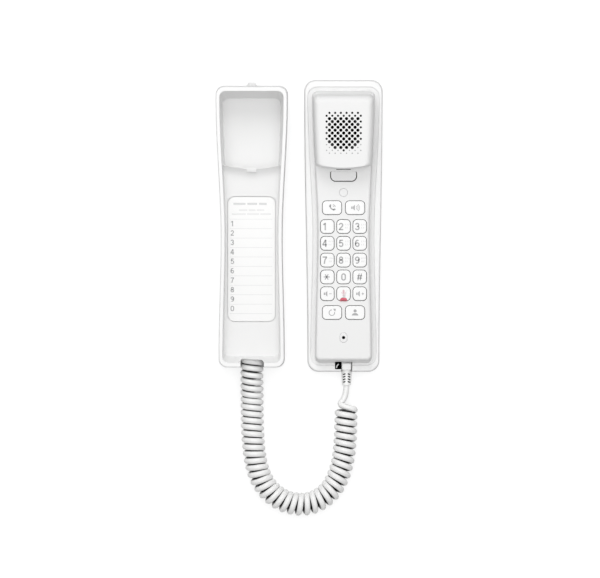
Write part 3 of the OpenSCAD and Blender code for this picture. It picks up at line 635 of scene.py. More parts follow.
class Line:
    """A smooth line through route points, measured along its length."""

    def __init__(self, route, steps=12):
        points = [Vector(p) for p in route]
        near = lambda i: points[min(max(i, 0), len(points) - 1)]
        self.points = [
            catmull(near(i - 1), near(i), near(i + 1), near(i + 2), k / steps)
            for i in range(len(points) - 1) for k in range(steps)
        ] + [points[-1]]
        self.run = [0.0]
        for a, b in zip(self.points, self.points[1:]):
            self.run.append(self.run[-1] + (b - a).length)
        self.length = self.run[-1]

    def at(self, s):
        s = min(max(s, 0.0), self.length)
        low = min(max(bisect.bisect_right(self.run, s) - 1, 0), len(self.run) - 2)
        share = (s - self.run[low]) / max(self.run[low + 1] - self.run[low], 1e-9)
        return self.points[low].lerp(self.points[low + 1], share)


def curl_centres():
    """Centres of the cord's rings: a straight lead, left-handed curls, and a straight lead."""
    line = Line(CORD_ROUTE)
    turns = CURLS + 0.5
    coil_start = LEAD_IN + RUN_IN
    coil_run = line.length - LEAD_IN - LEAD_OUT - RUN_IN - RUN_OUT
    total = turns + 2 * RUN_TURN
    centres = [line.at(0), line.at(LEAD_IN * 0.5), line.at(LEAD_IN * 0.95)]
    axis = [None] * 3
    for k in range(1, int(total * RINGS_PER_TURN)):
        u = k / RINGS_PER_TURN
        if u < RUN_TURN:
            s = LEAD_IN + RUN_IN * u / RUN_TURN
        elif u < RUN_TURN + turns:
            share = (u - RUN_TURN) / turns
            s = coil_start + coil_run * (share * (1 - SPREAD) + SPREAD * share * share)
        else:
            s = coil_start + coil_run + RUN_OUT * (u - RUN_TURN - turns) / RUN_TURN
        radius = (CURL_OD - CORD_D) / 2 * smooth(u / GROW_TURN) * smooth((total - u) / RUN_TURN)
        along = (line.at(s + 0.5) - line.at(s - 0.5)).normalized()
        side = along.cross(Vector((0, 0, 1))).normalized()
        up = side.cross(along)
        angle = math.radians(START_ANGLE + 360 * min(u, RUN_TURN + turns))
        centres.append(line.at(s) + radius * (math.cos(angle) * side + math.sin(angle) * up))
        axis.append(line.at(s) if FIRST_CURL < u < RUN_TURN + turns - LAST_CURL else None)
    for share in (0.85, 0.6, 0.3, 0):
        centres.append(line.at(line.length - LEAD_OUT * share))
        axis.append(None)
    for _ in range(EASE_PASSES):
        for i in range(len(centres) - EASE_RINGS, len(centres) - 1):
            centres[i] = (centres[i - 1] + 2 * centres[i] + centres[i + 1]) / 4
    return centres, axis


def tube(name, centres, axis, diameter, sides, material):
    """Round tube through points. "inward" is higher where its side faces the coil's axis, and -1 off it."""
    count = len(centres)
    rings = []
    inward = []
    across = Vector((0, 0, 1))
    for i, centre in enumerate(centres):
        before, after = centres[max(i - 1, 0)], centres[min(i + 1, count - 1)]
        along = (after - before).normalized()
        across = (across - across.dot(along) * along).normalized()
        other = along.cross(across)
        ways = [math.cos(a) * across + math.sin(a) * other
                for a in (2 * math.pi * k / sides for k in range(sides))]
        rings.append([tuple(centre + diameter / 2 * way) for way in ways])
        # "inward" sets how much painted shade the jacket gets here
        hub = (axis[i] - centre) * 2 / CURL_OD if axis[i] else None
        # More painted shade towards the cradle's end of the cord
        extra = PAINTED_SHADE_AT_CRADLE * max(0.0, 1 - 4 * i / count)
        inward += [hub.dot(way) + extra if hub else -1.0 for way in ways]
    piece = solid(name, rings, material, smooth_to=60)
    piece.data.attributes.new("inward", "FLOAT", "POINT").data.foreach_set("value", inward)
    return piece


def curly_cord(end_pieces):
    centres, axis = curl_centres()
    cord = tube("curly_cord_jacket", centres, axis, CORD_D, CORD_SIDES, CORD_JACKET)
    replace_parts(cord, "curly_cord")
    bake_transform(cord)


# ---- Cradle ----

# Rounded edge of the hollow's rim, and the step's ridge
LIP_FLARE = 0.45
LIP_RISE = 4.4
LIP_RUN = 12.0
LIP_CURVE = 3.6
LIP_EDGE = 0.15

# Tab that holds the hook button down
TAB_W = 7.4
TAB_L = 3.0
TAB_RISE = 4.6
TAB_RUN = 1.0
TAB_BACK = 0.9

# Thumb pad on the latch tongue
PAD_W = 6.1
PAD_OUT = 2.3
PAD_ROOT = 1.2
PAD_R = 1.0
PAD_LOW = 1.2
PAD_HIGH = 5.8

# The tray's floor: the height of its rounded edge, and how far in its sides and its sloping foot stand
TRAY_EDGE = 0.8
TRAY_SIDE_IN = 1.4
TRAY_FOOT_IN = 4.2

# Where the tray's cutter starts, short of the top, which the recess opens
TRAY_SHORT = -40

# The recess's floor: how far in its sides and its top stand, and the height of its rounded edge
RECESS_SIDE_IN = 2.4
RECESS_TOP_IN = 4.4
RECESS_EDGE = 0.6
RECESS_FOOT_R = 0.8
RECESS_PROUD = 0.03

# How far a ridge or tab sinks into the tray's floor
SUNK = 0.5


def cradle_shell():
    """Tray with its deep earpiece recess, lip, tab and the notch that the cord comes out of."""
    rim = (TRAY_GAP + CRADLE_WALL, TRAY_GAP + CRADLE_END + CRADLE_TOP_OUT,
           TRAY_GAP + CRADLE_END + CRADLE_FOOT_OUT)
    inset = lambda d: tuple(g - d for g in rim)
    skirt = (rim[0] + SKIRT_OUT, rim[1] + SKIRT_TOP_OUT, rim[2] + SKIRT_OUT)
    levels = bend((SKIRT_LOW, CRADLE_R - 2.0, inset(SKIRT_IN)), (SKIRT_HIGH, CRADLE_R - 0.2, skirt), "under")
    levels += bend((CRADLE_Z - CRADLE_EDGE, CRADLE_R, rim),
                   (CRADLE_Z, CRADLE_R - 0.5, inset(CRADLE_EDGE_IN)), "over", 7)
    # The rim's top bands take the lighter rim plastic, a painted highlight
    bands = [0] * (len(levels) - 6) + [1] * 5
    shell = lofted("cradle_shell_moulding", of_kind("pod", levels), WHITE, RIM_WHITE_PAINTED_HIGHLIGHT, colours=bands)
    pocket = rounded(LABEL_W + 2 * LABEL_GAP, LABEL_L + 2 * LABEL_GAP, LABEL_R + LABEL_GAP)
    label_space = prism("label_space", [(pocket, LABEL_TOP - 1.0), (pocket, TRAY_Z + 1)], WHITE,
                        at=(0, LABEL_Y))
    cut(shell, tray_space(), recess_space(), notch_space(), label_space)
    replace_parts(weighted(shell), "cradle_shell")
    for part in (shell, step_lip(), hook_tab(), tongue_pad()):
        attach(part, "cradle")


def tongue_pad():
    """Thumb pad on the wall plate's latch tongue, seen past the cradle's top."""
    foot = POD_L / 2 + TRAY_GAP + CRADLE_END + CRADLE_TOP_OUT + SKIRT_TOP_OUT
    half, top = PAD_W / 2, foot + PAD_OUT
    flare = [(half + PAD_ROOT, foot - 2), (half + PAD_ROOT, foot), (half + PAD_ROOT / 4, foot + 0.7),
             (half, foot + 1.4)]
    shapes = []
    for inset, z in ((0, PAD_LOW), (0, PAD_HIGH - 0.8), (0.25, PAD_HIGH - 0.3), (0.8, PAD_HIGH)):
        corner = arc((half - PAD_R, top - PAD_R), PAD_R - inset, 0, 90, 5)
        shapes.append((mirrored([(x - inset, y) for x, y in flare] + corner), z))
    return prism("tongue_pad", shapes, WHITE)


def lip_flare(sides, top, foot):
    """Rounded edge at the cradle's rim, where the hollow opens."""
    low, high = CRADLE_Z - LIP_FLARE, CRADLE_Z
    wide = (sides + LIP_FLARE, top + LIP_FLARE, foot + LIP_FLARE)
    levels = bend((low, POD_R, (sides, top, foot)), (high, POD_R, wide), "over", 4)
    return levels + [(CRADLE_Z + 1, POD_R, wide)]


def tray_space():
    """The shallow hollow over the whole length, with a sloping foot."""
    floor_edge = (TRAY_GAP - TRAY_SIDE_IN, TRAY_SHORT, TRAY_GAP - TRAY_FOOT_IN)
    wall_edge = (TRAY_GAP - 0.45, TRAY_SHORT, TRAY_GAP - TRAY_FOOT_IN + 0.2)
    levels = bend((TRAY_Z, POD_R, floor_edge), (TRAY_Z + TRAY_EDGE, POD_R, wall_edge), "under")
    levels += lip_flare(TRAY_GAP, TRAY_SHORT, TRAY_GAP + CRADLE_FOOT_OUT)
    return lofted("tray_space", of_kind("pod", levels), WHITE)


def recess_space():
    """The deep hollow for the earpiece, ending in an arc."""
    # Height, and how far the sides and the top stand out, and the radius of the foot's corners
    floor_edge = (DEEP_Z, TRAY_GAP - RECESS_SIDE_IN, TRAY_GAP - RECESS_TOP_IN, 2.1)
    wall_edge = (DEEP_Z + RECESS_EDGE, TRAY_GAP - RECESS_SIDE_IN + 0.6, TRAY_GAP - RECESS_TOP_IN + 0.6, 1.6)
    rings = []
    for up, out in quarter(EDGE_STEPS):
        shares = (up, out, out, out)
        rings.append(tuple(mix(a, b, share) for a, b, share in zip(floor_edge, wall_edge, shares)))
    for flare, up in quarter(4):
        out = TRAY_GAP + RECESS_PROUD + LIP_FLARE * flare
        rings.append((CRADLE_Z - LIP_FLARE * (1 - up), out, out + CRADLE_TOP_OUT, RECESS_FOOT_R))
    rings.append((CRADLE_Z + 1, *rings[-1][1:]))
    outlines = []
    for z, sides, top, foot_r in rings:
        arc_in = -STEP_GAP + mix(0.6, 0, min((z - DEEP_Z) / RECESS_EDGE, 1))
        outlines.append((dome_outline(sides, top, arc_in, POD_R, foot_r), z))
    return prism("recess_space", outlines, WHITE)


def notch_space():
    """The gap in the foot that the curls leave by; its inner edge leans with the curls."""
    long = 20
    shape = [(x, y - NOTCH_SLANT * x if y > 0 else y) for x, y in rounded(NOTCH_W, long, NOTCH_R)]
    return prism("notch_space", [(shape, NOTCH_Z), (shape, CRADLE_Z + 2)], WHITE,
                 at=(NOTCH_X, NOTCH_Y - long / 2))


def step_lip():
    """Ridge along the step's arc; its lower side is hollow and runs out into the tray."""
    centre_y = DOME_FOOT + DOME_R
    inner = DOME_R + STEP_GAP
    low = TRAY_Z - SUNK - 0.1
    section = [(inner, low), (inner, TRAY_Z + LIP_RISE - LIP_EDGE), (inner + LIP_EDGE, TRAY_Z + LIP_RISE)]
    for k in range(1, 13):
        rise = LIP_RISE * (1 - k / 12) ** LIP_CURVE
        section.append((inner + LIP_EDGE + LIP_RUN * k / 12, TRAY_Z - 0.02 + rise))
    section.append((inner + LIP_EDGE + LIP_RUN, low))
    steps = 28
    rings = []
    for side in (mix(-1, 1, i / steps) for i in range(steps + 1)):
        ring = []
        for r, z in section:
            x = side * (pod_half(centre_y - r) + TRAY_GAP + 0.4)
            ring.append((x, centre_y - math.sqrt(r * r - x * x), z))
        rings.append(ring)
    return solid("step_lip", rings, WHITE)


def hook_tab():
    """Flat tab that holds the hook button down while the handset hangs."""
    high, low = TRAY_Z + TAB_RISE, TRAY_Z - SUNK
    edge = 0.3
    back, front = DOME_FOOT - STEP_GAP + TAB_BACK, DOME_FOOT - STEP_GAP - TAB_L
    section = [(back, low), (back, high - edge), (back - edge, high), (front + 2.0, high),
               (front + 0.6, high - 0.7), (front, high - TAB_RISE * 0.4),
               (front - TAB_RUN * 0.3, high - TAB_RISE * 0.7),
               (front - TAB_RUN, TRAY_Z + 0.1), (front - TAB_RUN, low)]
    return solid("hook_tab", [[(x, y, z) for y, z in section] for x in (-TAB_W / 2, TAB_W / 2)], WHITE)


# ---- Handset shells ----

# Mouth for the boot and slot over the plug
MOUTH_X = 2.4
MOUTH_W = 8.4
MOUTH_L = 8.0
SLOT_W = 12.9
SLOT_SLOPE = 1.1
SLOT_Y = (-102.6, -108.4)
MOUTH_AT = on_handset(MOUTH_X, SLOT_Y[0] - MOUTH_L / 2 - 0.05)

# Small leaning fin beside the plug
FIN_AT = (-4.4, -105.7)
FIN_T = 0.75
FIN_LOW = 2.6

# Groove round the raised body: its corners' radius at the top, and its rounded edges
GROOVE_R = 8.0
GROOVE_EDGE = 0.45
GROOVE_FLOOR_IN = 0.9

# Shadow line at the seam, and the back's rounded edge and its corners' radius
SEAM_IN = 0.15
BACK_IN = 6.8
BACK_R = 3.6

# Rounded edge at the top of the raised body
FACE_EDGE = 1.9
FACE_EDGE_IN = 2.0

# Holes in the keypad's face: their rounded edge, their depth, and how far down they are pale before painted
# black shade starts
OPENING_EDGE = 0.25
OPENING_DEPTH = 6.2
PALE_DEPTH = 1.6

# The narrow gap at the hook button's hinge, walled in painted black shade
HINGE_W = 10.8
HINGE_L = 0.9


def handset_front():
    """Rim, groove and raised keypad body, with openings for the keys, lamp, button and plug."""
    groove = TRAY_GAP + GROOVE_GAP
    wall = (groove + CRADLE_WALL, groove + CRADLE_END, groove + CRADLE_END)
    grown = lambda d: tuple(g + d for g in wall)
    bottom = RIM_Z - GROOVE_D
    levels = of_kind("handset", [(SEAM_Z + 0.1, HANDSET_R, seam_grow(-SEAM_IN)),
                                 (SEAM_Z + 0.3, HANDSET_R, seam_grow(0))])
    levels += of_kind("handset", bend((RIM_Z - RIM_EDGE, HANDSET_R, all_round(0)),
                                      (RIM_Z, HANDSET_R - RIM_EDGE, all_round(-RIM_EDGE)), "over", 7))
    # The rim's top bands take the lighter rim plastic, a painted highlight
    rim_bands = [0] * (len(levels) - 5) + [1] * 5
    levels += of_kind("pod", bend((RIM_Z, GROOVE_R, grown(GROOVE_EDGE)),
                                  (RIM_Z - GROOVE_EDGE, GROOVE_R - 0.6, wall), "under", 3))
    levels += of_kind("pod", bend((bottom + GROOVE_EDGE, GROOVE_R - 0.6, wall),
                                  (bottom, GROOVE_R - 1.4, grown(-GROOVE_FLOOR_IN)), "over", 3))
    levels += of_kind("pod", bend((bottom, POD_R + 0.8, (0.8, 1.5, BODY_FOOT_OUT + 0.4)),
                                  (bottom + 0.8, POD_R - 0.6, (0, 1.0, BODY_FOOT_OUT)), "under"))
    levels += of_kind("pod", bend((FACE_Z - FACE_EDGE, POD_R - 1.2, (-0.25, -0.25, 0.1)),
                                  (FACE_Z, POD_R - 2.4, all_round(-FACE_EDGE_IN)), "over", 7))
    rim_bands += [0] * (len(levels) - 1 - len(rim_bands))
    shell = lofted("handset_front_moulding", levels, WHITE, RIM_WHITE_PAINTED_HIGHLIGHT, at=HANDSET_AT, colours=rim_bands)
    return cut(shell, *face_openings(), *plug_opening())


def opening(name, shape, at, wider=OPENING_EDGE, depth=OPENING_DEPTH):
    """Cutter for a hole in the keypad's face: walled in painted black shade below, with a rounded edge at the
    top.
    """
    pale = min(PALE_DEPTH, depth * 0.8)
    shapes = [(shape(0), FACE_Z - down) for down in (depth, pale, wider)]
    shapes += [(shape(wider * out), FACE_Z - wider * (1 - up)) for out, up in quarter(3)[1:]]
    shapes.append((shape(wider), FACE_Z + 1))
    return prism(name, shapes, WHITE, PAINTED_SHADE_BLACK, at=on_handset(*at), colours=[1, 0, 0, 0, 0, 0])


def around(width, length, radius, gap):
    """Outline of an opening round a rounded piece, as a function of how much it is widened."""
    return lambda g: rounded(width + 2 * (gap + g), length + 2 * (gap + g), radius + gap + g)


def face_openings():
    cutters = []
    for key in KEYS:
        x, y, width = key_place(key)
        cutters.append(opening("hole_" + key[0], around(width, KEY_L, KEY_R, KEY_GAP), (x, y)))
    cutters.append(opening("hole_hook", lambda g: paddle(HOOK_GAP + g, 0.0), (0, HOOK_Y)))
    hinge = rounded(HINGE_W, HINGE_L, 0.3)
    cutters.append(prism("hook_hinge_slot", [(hinge, FACE_Z - 2), (hinge, FACE_Z + 1)], PAINTED_SHADE_BLACK,
                         at=on_handset(0, HOOK_Y + HOOK_L / 2 - 0.1)))
    lamp_hole = lambda g: circle(LAMP_D / 2 + LAMP_GAP + g)
    cutters.append(opening("hole_lamp", lamp_hole, (0, LAMP_Y), 0.2))
    ring = around(BOSS_W, BOSS_L, BOSS_W / 2 - BOSS_GAP, BOSS_GAP)
    cutters.append(opening("ring_mic", ring, (0, MIC_Y), 0.12, BOSS_DEEP))
    return [joined("face_openings", cutters)]


def plug_opening():
    """Slot over the plug, and the mouth in the rim that the boot comes out of, both walled low down in
    painted black shade.
    """
    low, high = SEAM_Z + 0.4, FACE_Z + 1
    long = SLOT_Y[0] - SLOT_Y[1]
    slot = rounded(SLOT_W, long, 0.5)
    narrow = moved(rounded(SLOT_W - SLOT_SLOPE, long - SLOT_SLOPE, 0.4), -SLOT_SLOPE / 2, -SLOT_SLOPE / 2)
    shapes = [(narrow, low), (narrow, RIM_Z - 2.2), (slot, RIM_Z - GROOVE_D - 0.1), (slot, high)]
    first = prism("plug_slot", shapes, WHITE, PAINTED_SHADE_BLACK, at=on_handset(0, SLOT_Y[0] - long / 2),
                  colours=[1, 1, 0])
    mouth = rounded(MOUTH_W, MOUTH_L, 0.4)
    second = prism("plug_mouth", [(mouth, SEAM_Z - 1), (mouth, RIM_Z - 0.5), (mouth, high)], WHITE, PAINTED_SHADE_BLACK,
                   at=MOUTH_AT, colours=[1, 0])
    return [first, second]


def dome():
    """Earpiece dome, with its sloping top, rounded edges and grille."""
    # Height, how far the sides and top stand out, the foot's arc in, and the top and foot corners' radii
    low = (RIM_Z - 0.6, 0.03, 1.05, -0.9, POD_R, 2.2)
    high = (DOME_Z - 6.6, -0.7, -2.8, -0.7, POD_R, 2.4)
    top = (DOME_Z, -5.2, -8.6, 0.2, 3.4, 4.0)
    shapes = [tuple(mix(a, b, i / 3) for a, b in zip(low, high)) for i in range(4)]
    for inward, up in quarter(9)[1:]:
        shapes.append((mix(high[0], top[0], up),
                       *(mix(a, b, inward) for a, b in zip(high[1:], top[1:]))))
    rings = [placed(dome_outline(*shape[1:]), shape[0], HANDSET_AT) for shape in shapes]
    return cut(solid("earpiece_dome", rings, WHITE), grille_cutters())


def grille_holes():
    """Places and radii of the grille's holes, row by row, and whether each goes through."""
    rows, middle = 15, 7
    open_half_widths = {11: 2.9, 12: 1.6, 13: 0.1, 14: 0}
    holes = []
    for row in range(rows):
        count = 6 + row % 2
        y = GRILLE_Y + (middle - row) * GRILLE_ROW
        for i in range(count):
            column = i - (count - 1) / 2
            small = row < 2 or row > 12 or abs(column) > 2.9
            through = row not in open_half_widths or abs(column) < open_half_widths[row]
            holes.append((column * GRILLE_PITCH, y, GRILLE_SMALL_D / 2 if small else GRILLE_D / 2, through))
    return holes


def grille_tree():
    """Geometry nodes: a round cutter on every point, as wide as the point's radius."""
    tree, given, made = group(
        "grille_cutters",
        [("Geometry", "NodeSocketGeometry", None), ("Depth", "NodeSocketFloat", 0.005),
         ("Material", "NodeSocketMaterial", None)],
        [("Geometry", "NodeSocketGeometry")], "GeometryNodeTree",
    )
    hole = add(tree, "GeometryNodeMeshCylinder", Vertices=16, Radius=1.0, Depth=given.outputs["Depth"])
    size = add(tree, "GeometryNodeInputNamedAttribute", settings={"data_type": "FLOAT"}, Name="radius")
    wide = add(tree, "ShaderNodeCombineXYZ", X=size.outputs["Attribute"], Y=size.outputs["Attribute"], Z=1.0)
    spread = add(tree, "GeometryNodeInstanceOnPoints", Points=given.outputs["Geometry"],
                 Instance=hole.outputs["Mesh"], Scale=wide.outputs["Vector"])
    real = add(tree, "GeometryNodeRealizeInstances", Geometry=spread.outputs["Instances"])
    paint = add(tree, "GeometryNodeSetMaterial", Geometry=real.outputs["Geometry"],
                Material=given.outputs["Material"])
    feed(tree, made, Geometry=paint.outputs["Geometry"])
    return tree


def set_input(modifier, label, value):
    """Sets a geometry nodes modifier's input by its socket's identifier."""
    for socket in modifier.node_group.interface.items_tree:
        if socket.item_type == "SOCKET" and socket.in_out == "INPUT" and socket.name == label:
            modifier[socket.identifier] = value


def scattered(name, tree, places, depth, material):
    """Runs a tree on points of (x, y, z, radius) in millimetres and keeps the mesh."""
    mesh = bpy.data.meshes.new(name)
    mesh.from_pydata([Vector(p[:3]) * MM for p in places], [], [])
    radius = mesh.attributes.new("radius", "FLOAT", "POINT")
    radius.data.foreach_set("value", [p[3] * MM for p in places])
    piece = bpy.data.objects.new(name, mesh)
    bpy.context.collection.objects.link(piece)
    nodes = piece.modifiers.new("nodes", "NODES")
    nodes.node_group = tree
    set_input(nodes, "Depth", depth * MM)
    set_input(nodes, "Material", material)
    return applied(piece)


def grille_cutters():
    """Cutters for the grille: ones walled in painted black shade go through, and ones lined with painted grey
    shade only dent the dome.
    """
    tree = grille_tree()
    holes = [(*on_handset(x, y), radius, through) for x, y, radius, through in grille_holes()]
    deep = [(x, y, DOME_Z - 0.9, radius) for x, y, radius, through in holes if through]
    dents = [(x, y, DOME_Z + 0.6, DENT_R) for x, y, _, through in holes if not through]
    return joined("grille_cutters", [scattered("grille_through", tree, deep, 5.0, PAINTED_SHADE_BLACK),
                                     scattered("grille_dents", tree, dents, 2.0, DENT_PAINTED_SHADE)])


def handset_rear():
    """Back half of the handset, with screw wells and the lower part of the cord's mouth, whose walls are
    painted black shade.
    """
    levels = bend((0.0, BACK_R, all_round(-BACK_IN)), (SEAM_Z - 0.5, HANDSET_R, seam_grow(0)), "under", 12)
    levels += [(SEAM_Z - 0.2, HANDSET_R, seam_grow(0)),
               (SEAM_Z - 0.02, HANDSET_R, seam_grow(-SEAM_IN))]
    shell = lofted("handset_rear_moulding", of_kind("handset", levels), WHITE, at=HANDSET_AT)
    well = circle(WELL_D / 2, 24)
    wells = [prism("well", [(well, -1), (well, WELL_DEPTH)], WHITE, at=on_handset(*place))
             for place in HANDSET_SCREWS]
    mouth = rounded(MOUTH_W, MOUTH_L, 0.4)
    wells.append(prism("mouth", [(mouth, 3.6), (mouth, SEAM_Z + 1)], WHITE, PAINTED_SHADE_BLACK, at=MOUTH_AT, colours=[1]))
    cut(shell, joined("wells", wells))
    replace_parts(weighted(shell), "handset_rear_shell")
    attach(shell, "handset")


def handset_shells():
    front = handset_front()
    earpiece = dome()
    boss = mic_boss()
    fin = plug_fin()
    weighted(front)
    weighted(earpiece)
    for part in (front, earpiece, boss, fin):
        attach(part, "handset")
    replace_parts(front, "handset_front_shell")


def mic_boss():
    """Faint oval raised round the microphone's hole."""
    at = on_handset(0, MIC_Y)
    shapes = []
    for inset, rise in ((0, -BOSS_DEEP - 0.05), (0, 0.12), (0.12, 0.26), (0.4, BOSS_RISE)):
        shape = rounded(BOSS_W - 2 * inset, BOSS_L - 2 * inset, BOSS_W / 2 - 0.05 - inset)
        shapes.append((shape, FACE_Z + rise))
    piece = prism("microphone_boss", shapes, WHITE, at=at)
    # The microphone's hole is walled in painted black shade
    bore = circle(MIC_HOLE_D / 2, 24)
    return cut(piece, prism("hole", [(bore, FACE_Z - 1), (bore, FACE_Z + 1)], PAINTED_SHADE_BLACK, at=at))


def plug_fin():
    """Small leaning fin beside the plug."""
    centre_line = [(-0.85, -1.7), (-0.75, -0.9), (-0.4, -0.1), (0.1, 0.6), (0.75, 1.25)]
    points = ribbon(centre_line, FIN_T)
    return prism("plug_fin", [(points, FIN_LOW), (points, RIM_Z - 2.2)], WHITE, at=on_handset(*FIN_AT))


# ---- Keys ----

# Key caps: two sizes on one pitch, and a wider pitch for the outer rows
KEY_W = 10.0
KEY_L = 10.1
WIDE_KEY_W = 14.3
KEY_R = 2.8
KEY_PITCH_X = 12.25
KEY_PITCH_Y = 12.7
WIDE_PITCH_X = 17.4
WIDE_PITCH_Y = 14.2
KEYPAD_Y = -25.8
KEY_GAP = 0.4
KEY_PROUD = 0.7
KEY_TOP = FACE_Z + KEY_PROUD
KEY_FOOT = 20.2
KEY_EDGE = 0.55

# Hook button: how much of its length the dome covers, and the share of its rise left at the top
HOOK_W = 19.2
HOOK_L = 9.0
HOOK_R = 3.6
HOOK_GAP = 0.55
HOOK_HIDDEN = 1.9
HOOK_Y = 38.5
HOOK_PROUD = 1.4
HOOK_EDGE = 0.8
HOOK_LEAN = 0.12

# Status lamp
LAMP_Y = 25.3
LAMP_D = 6.0
LAMP_GAP = 0.15

# Microphone: its hole, and the oval round it that stands in a fine ring
MIC_Y = -84.3
MIC_HOLE_D = 2.5
BOSS_W = 5.4
BOSS_L = 7.4
BOSS_GAP = 0.1
BOSS_DEEP = 0.7
BOSS_RISE = 0.3

# Grille in the dome, with smaller holes round its edge and shallow dents below, which are lined with painted
# grey shade
GRILLE_Y = 69.8
GRILLE_PITCH = 4.29
GRILLE_ROW = 2.17
GRILLE_D = 2.5
GRILLE_SMALL_D = 1.7
DENT_R = 0.5

# Screws in the handset's back, in round wells
HANDSET_SCREWS = [(-14, 90), (14, 90), (-14, -92), (15, -92)]
WELL_D = 5.2
WELL_DEPTH = 2.8

# Mute key's window: half its width, its full and its cut height
WINDOW_HALF = 2.65
WINDOW_H = 2.35
WINDOW_CUT = 1.9

# Name, column and row of each key; rows count up from the middle number row
KEYS = [
    ("key_line", -1, 3), ("key_speaker", 1, 3),
    ("key_1", -1, 2), ("key_2", 0, 2), ("key_3", 1, 2),
    ("key_4", -1, 1), ("key_5", 0, 1), ("key_6", 1, 1),
    ("key_7", -1, 0), ("key_8", 0, 0), ("key_9", 1, 0),
    ("key_star", -1, -1), ("key_0", 0, -1), ("key_hash", 1, -1),
    ("key_volume_down", -1, -2), ("key_mute", 0, -2), ("key_volume_up", 1, -2),
    ("key_redial", -1, -3), ("key_contacts", 1, -3),
]


def key_place(key):
    """Centre and width of a key, on the handset."""
    wide = abs(key[2]) == 3
    x = key[1] * (WIDE_PITCH_X / 2 if wide else KEY_PITCH_X)
    rows = abs(key[2])
    y = KEYPAD_Y + math.copysign(min(rows, 2) * KEY_PITCH_Y + max(rows - 2, 0) * WIDE_PITCH_Y, key[2])
    return x, y, WIDE_KEY_W if wide else KEY_W


def cap_shapes(width, length, radius, low, high, edge):
    """Outlines of a flat-topped cap with a rounded upper edge."""
    shapes = [(rounded(width, length, radius), low), (rounded(width, length, radius), high - edge)]
    for inward, up in quarter(5)[1:]:
        inset = edge * inward
        shape = rounded(width - 2 * inset, length - 2 * inset, radius - inset)
        shapes.append((shape, high - edge * (1 - up)))
    return shapes


def keys():
    for key in KEYS:
        x, y, width = key_place(key)
        at = on_handset(x, y)
        shapes = cap_shapes(width, KEY_L, KEY_R, KEY_FOOT, KEY_TOP, KEY_EDGE)
        cap = prism(key[0] + "_cap", shapes, KEY_WHITE, at=at)
        if key[0] == "key_mute":
            window = lens_outline(0.12)
            cut(cap, prism("pocket", [(window, KEY_TOP - 1.1), (window, KEY_TOP + 1)], KEY_WHITE,
                           at=(at[0], at[1] - KEY_L / 2)))
        weighted(cap)
        piece = joined(key[0] + "_cap", [cap] + legend(key[0], at, KEY_TOP))
        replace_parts(piece, key[0])
        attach(piece, key[0])


def lens_outline(grow, foot=-0.55):
    """Flattened half oval that stands on the mute key's lower edge."""
    half = WINDOW_HALF + grow
    crown = [(x, min(y, WINDOW_CUT + grow)) for x, y in oval((0, 0), half, WINDOW_H + grow, 0, 180, 20)]
    return [(-half, foot), (half, foot)] + crown


def mute_lens():
    """Red window in the mute key, with a strip of painted shade along its foot: a darker copy of the red
    lens.
    """
    x, y, _ = key_place(("key_mute", 0, -2))
    at = on_handset(x, y - KEY_L / 2)
    shapes = [(lens_outline(0), KEY_TOP - 1.0), (lens_outline(0), KEY_TOP - 0.05),
              (lens_outline(-0.15, -0.4), KEY_TOP + 0.06)]
    window = prism("window", shapes, RED_LENS, at=at)
    strip = [(-2.4, -0.5), (2.4, -0.5), (2.4, 0.25), (1.6, 0.55), (-1.6, 0.55), (-2.4, 0.25)]
    foot = prism("foot", [(strip, KEY_TOP - 0.5), (strip, KEY_TOP + 0.09)], RED_LENS_PAINTED_SHADE, at=at)
    lens = joined("mute_lens", [window, foot])
    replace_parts(lens, "mute_lamp_lens")
    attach(lens, "key_mute")


def paddle(grow, inset):
    """Outline of the hook button: straight at the top, round corners at the foot."""
    half, r = HOOK_W / 2 + grow - inset, HOOK_R + grow - inset
    top, foot = HOOK_L / 2 - HOOK_HIDDEN - inset, -HOOK_L / 2 - grow + inset
    right = arc((half - r, foot + r), r, -90, 0, 8) + [(half, top - 0.6), (half - 0.6, top)]
    return mirrored(right)


def hook_button():
    """Button that leans up from its hinge below the dome to its foot."""
    at = on_handset(0, HOOK_Y)
    shapes = [(paddle(0, 0.05), KEY_FOOT)]
    for inward, up in quarter(5):
        shapes.append((paddle(0, 0.05 + HOOK_EDGE * inward), FACE_Z + HOOK_PROUD - HOOK_EDGE * (1 - up)))
    cap = prism("hook_button_cap", shapes, WHITE, at=at)
    for vertex in cap.data.vertices:
        if vertex.co.z > FACE_Z * MM:
            along = (vertex.co.y / MM - at[1] + HOOK_L / 2) / (HOOK_L - HOOK_HIDDEN)
            rise = mix(1.0, HOOK_LEAN, smooth(along * 1.15 - 0.15))
            vertex.co.z = mix(FACE_Z * MM, vertex.co.z, rise)
    soften(cap)
    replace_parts(weighted(cap), "hook_button")
    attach(cap, "hook_button")


# ---- Legends ----

INK_SUNK = 0.01
INK_T = 0.035

# Widths of the signs' and the icons' lines
PEN_W = 0.95
FINE_PEN_W = 0.75
ICON_W = 0.45
ARC_W = 0.4
THIN_W = 0.35

# Ticks that stand for letters: the first one's place, the rows' heights and their span
TICKS_X = 1.2
TICKS_Y = (1.4, -1.0)
TICKS_SPAN = 2.7
SIGN_X = -1.9


def ink(name, outlines, at, z, material, lines=(), pen=0.4):
    """Thin printed marks about a place: filled outlines, and pen lines of even width."""
    bm = bmesh.new()
    low, high = z - INK_SUNK, z + INK_T
    for points in outlines:
        skin(bm, [placed(points, low, at), placed(points, high, at)])
    for path in lines:
        side = len(path)
        edges = moved(ribbon(path, pen), *at)
        rings = []
        for right, left in zip(edges[:side], edges[side:][::-1]):
            rings.append([(*right, low), (*right, high), (*left, high), (*left, low)])
        skin(bm, rings)
    return finished(name, bm, material)


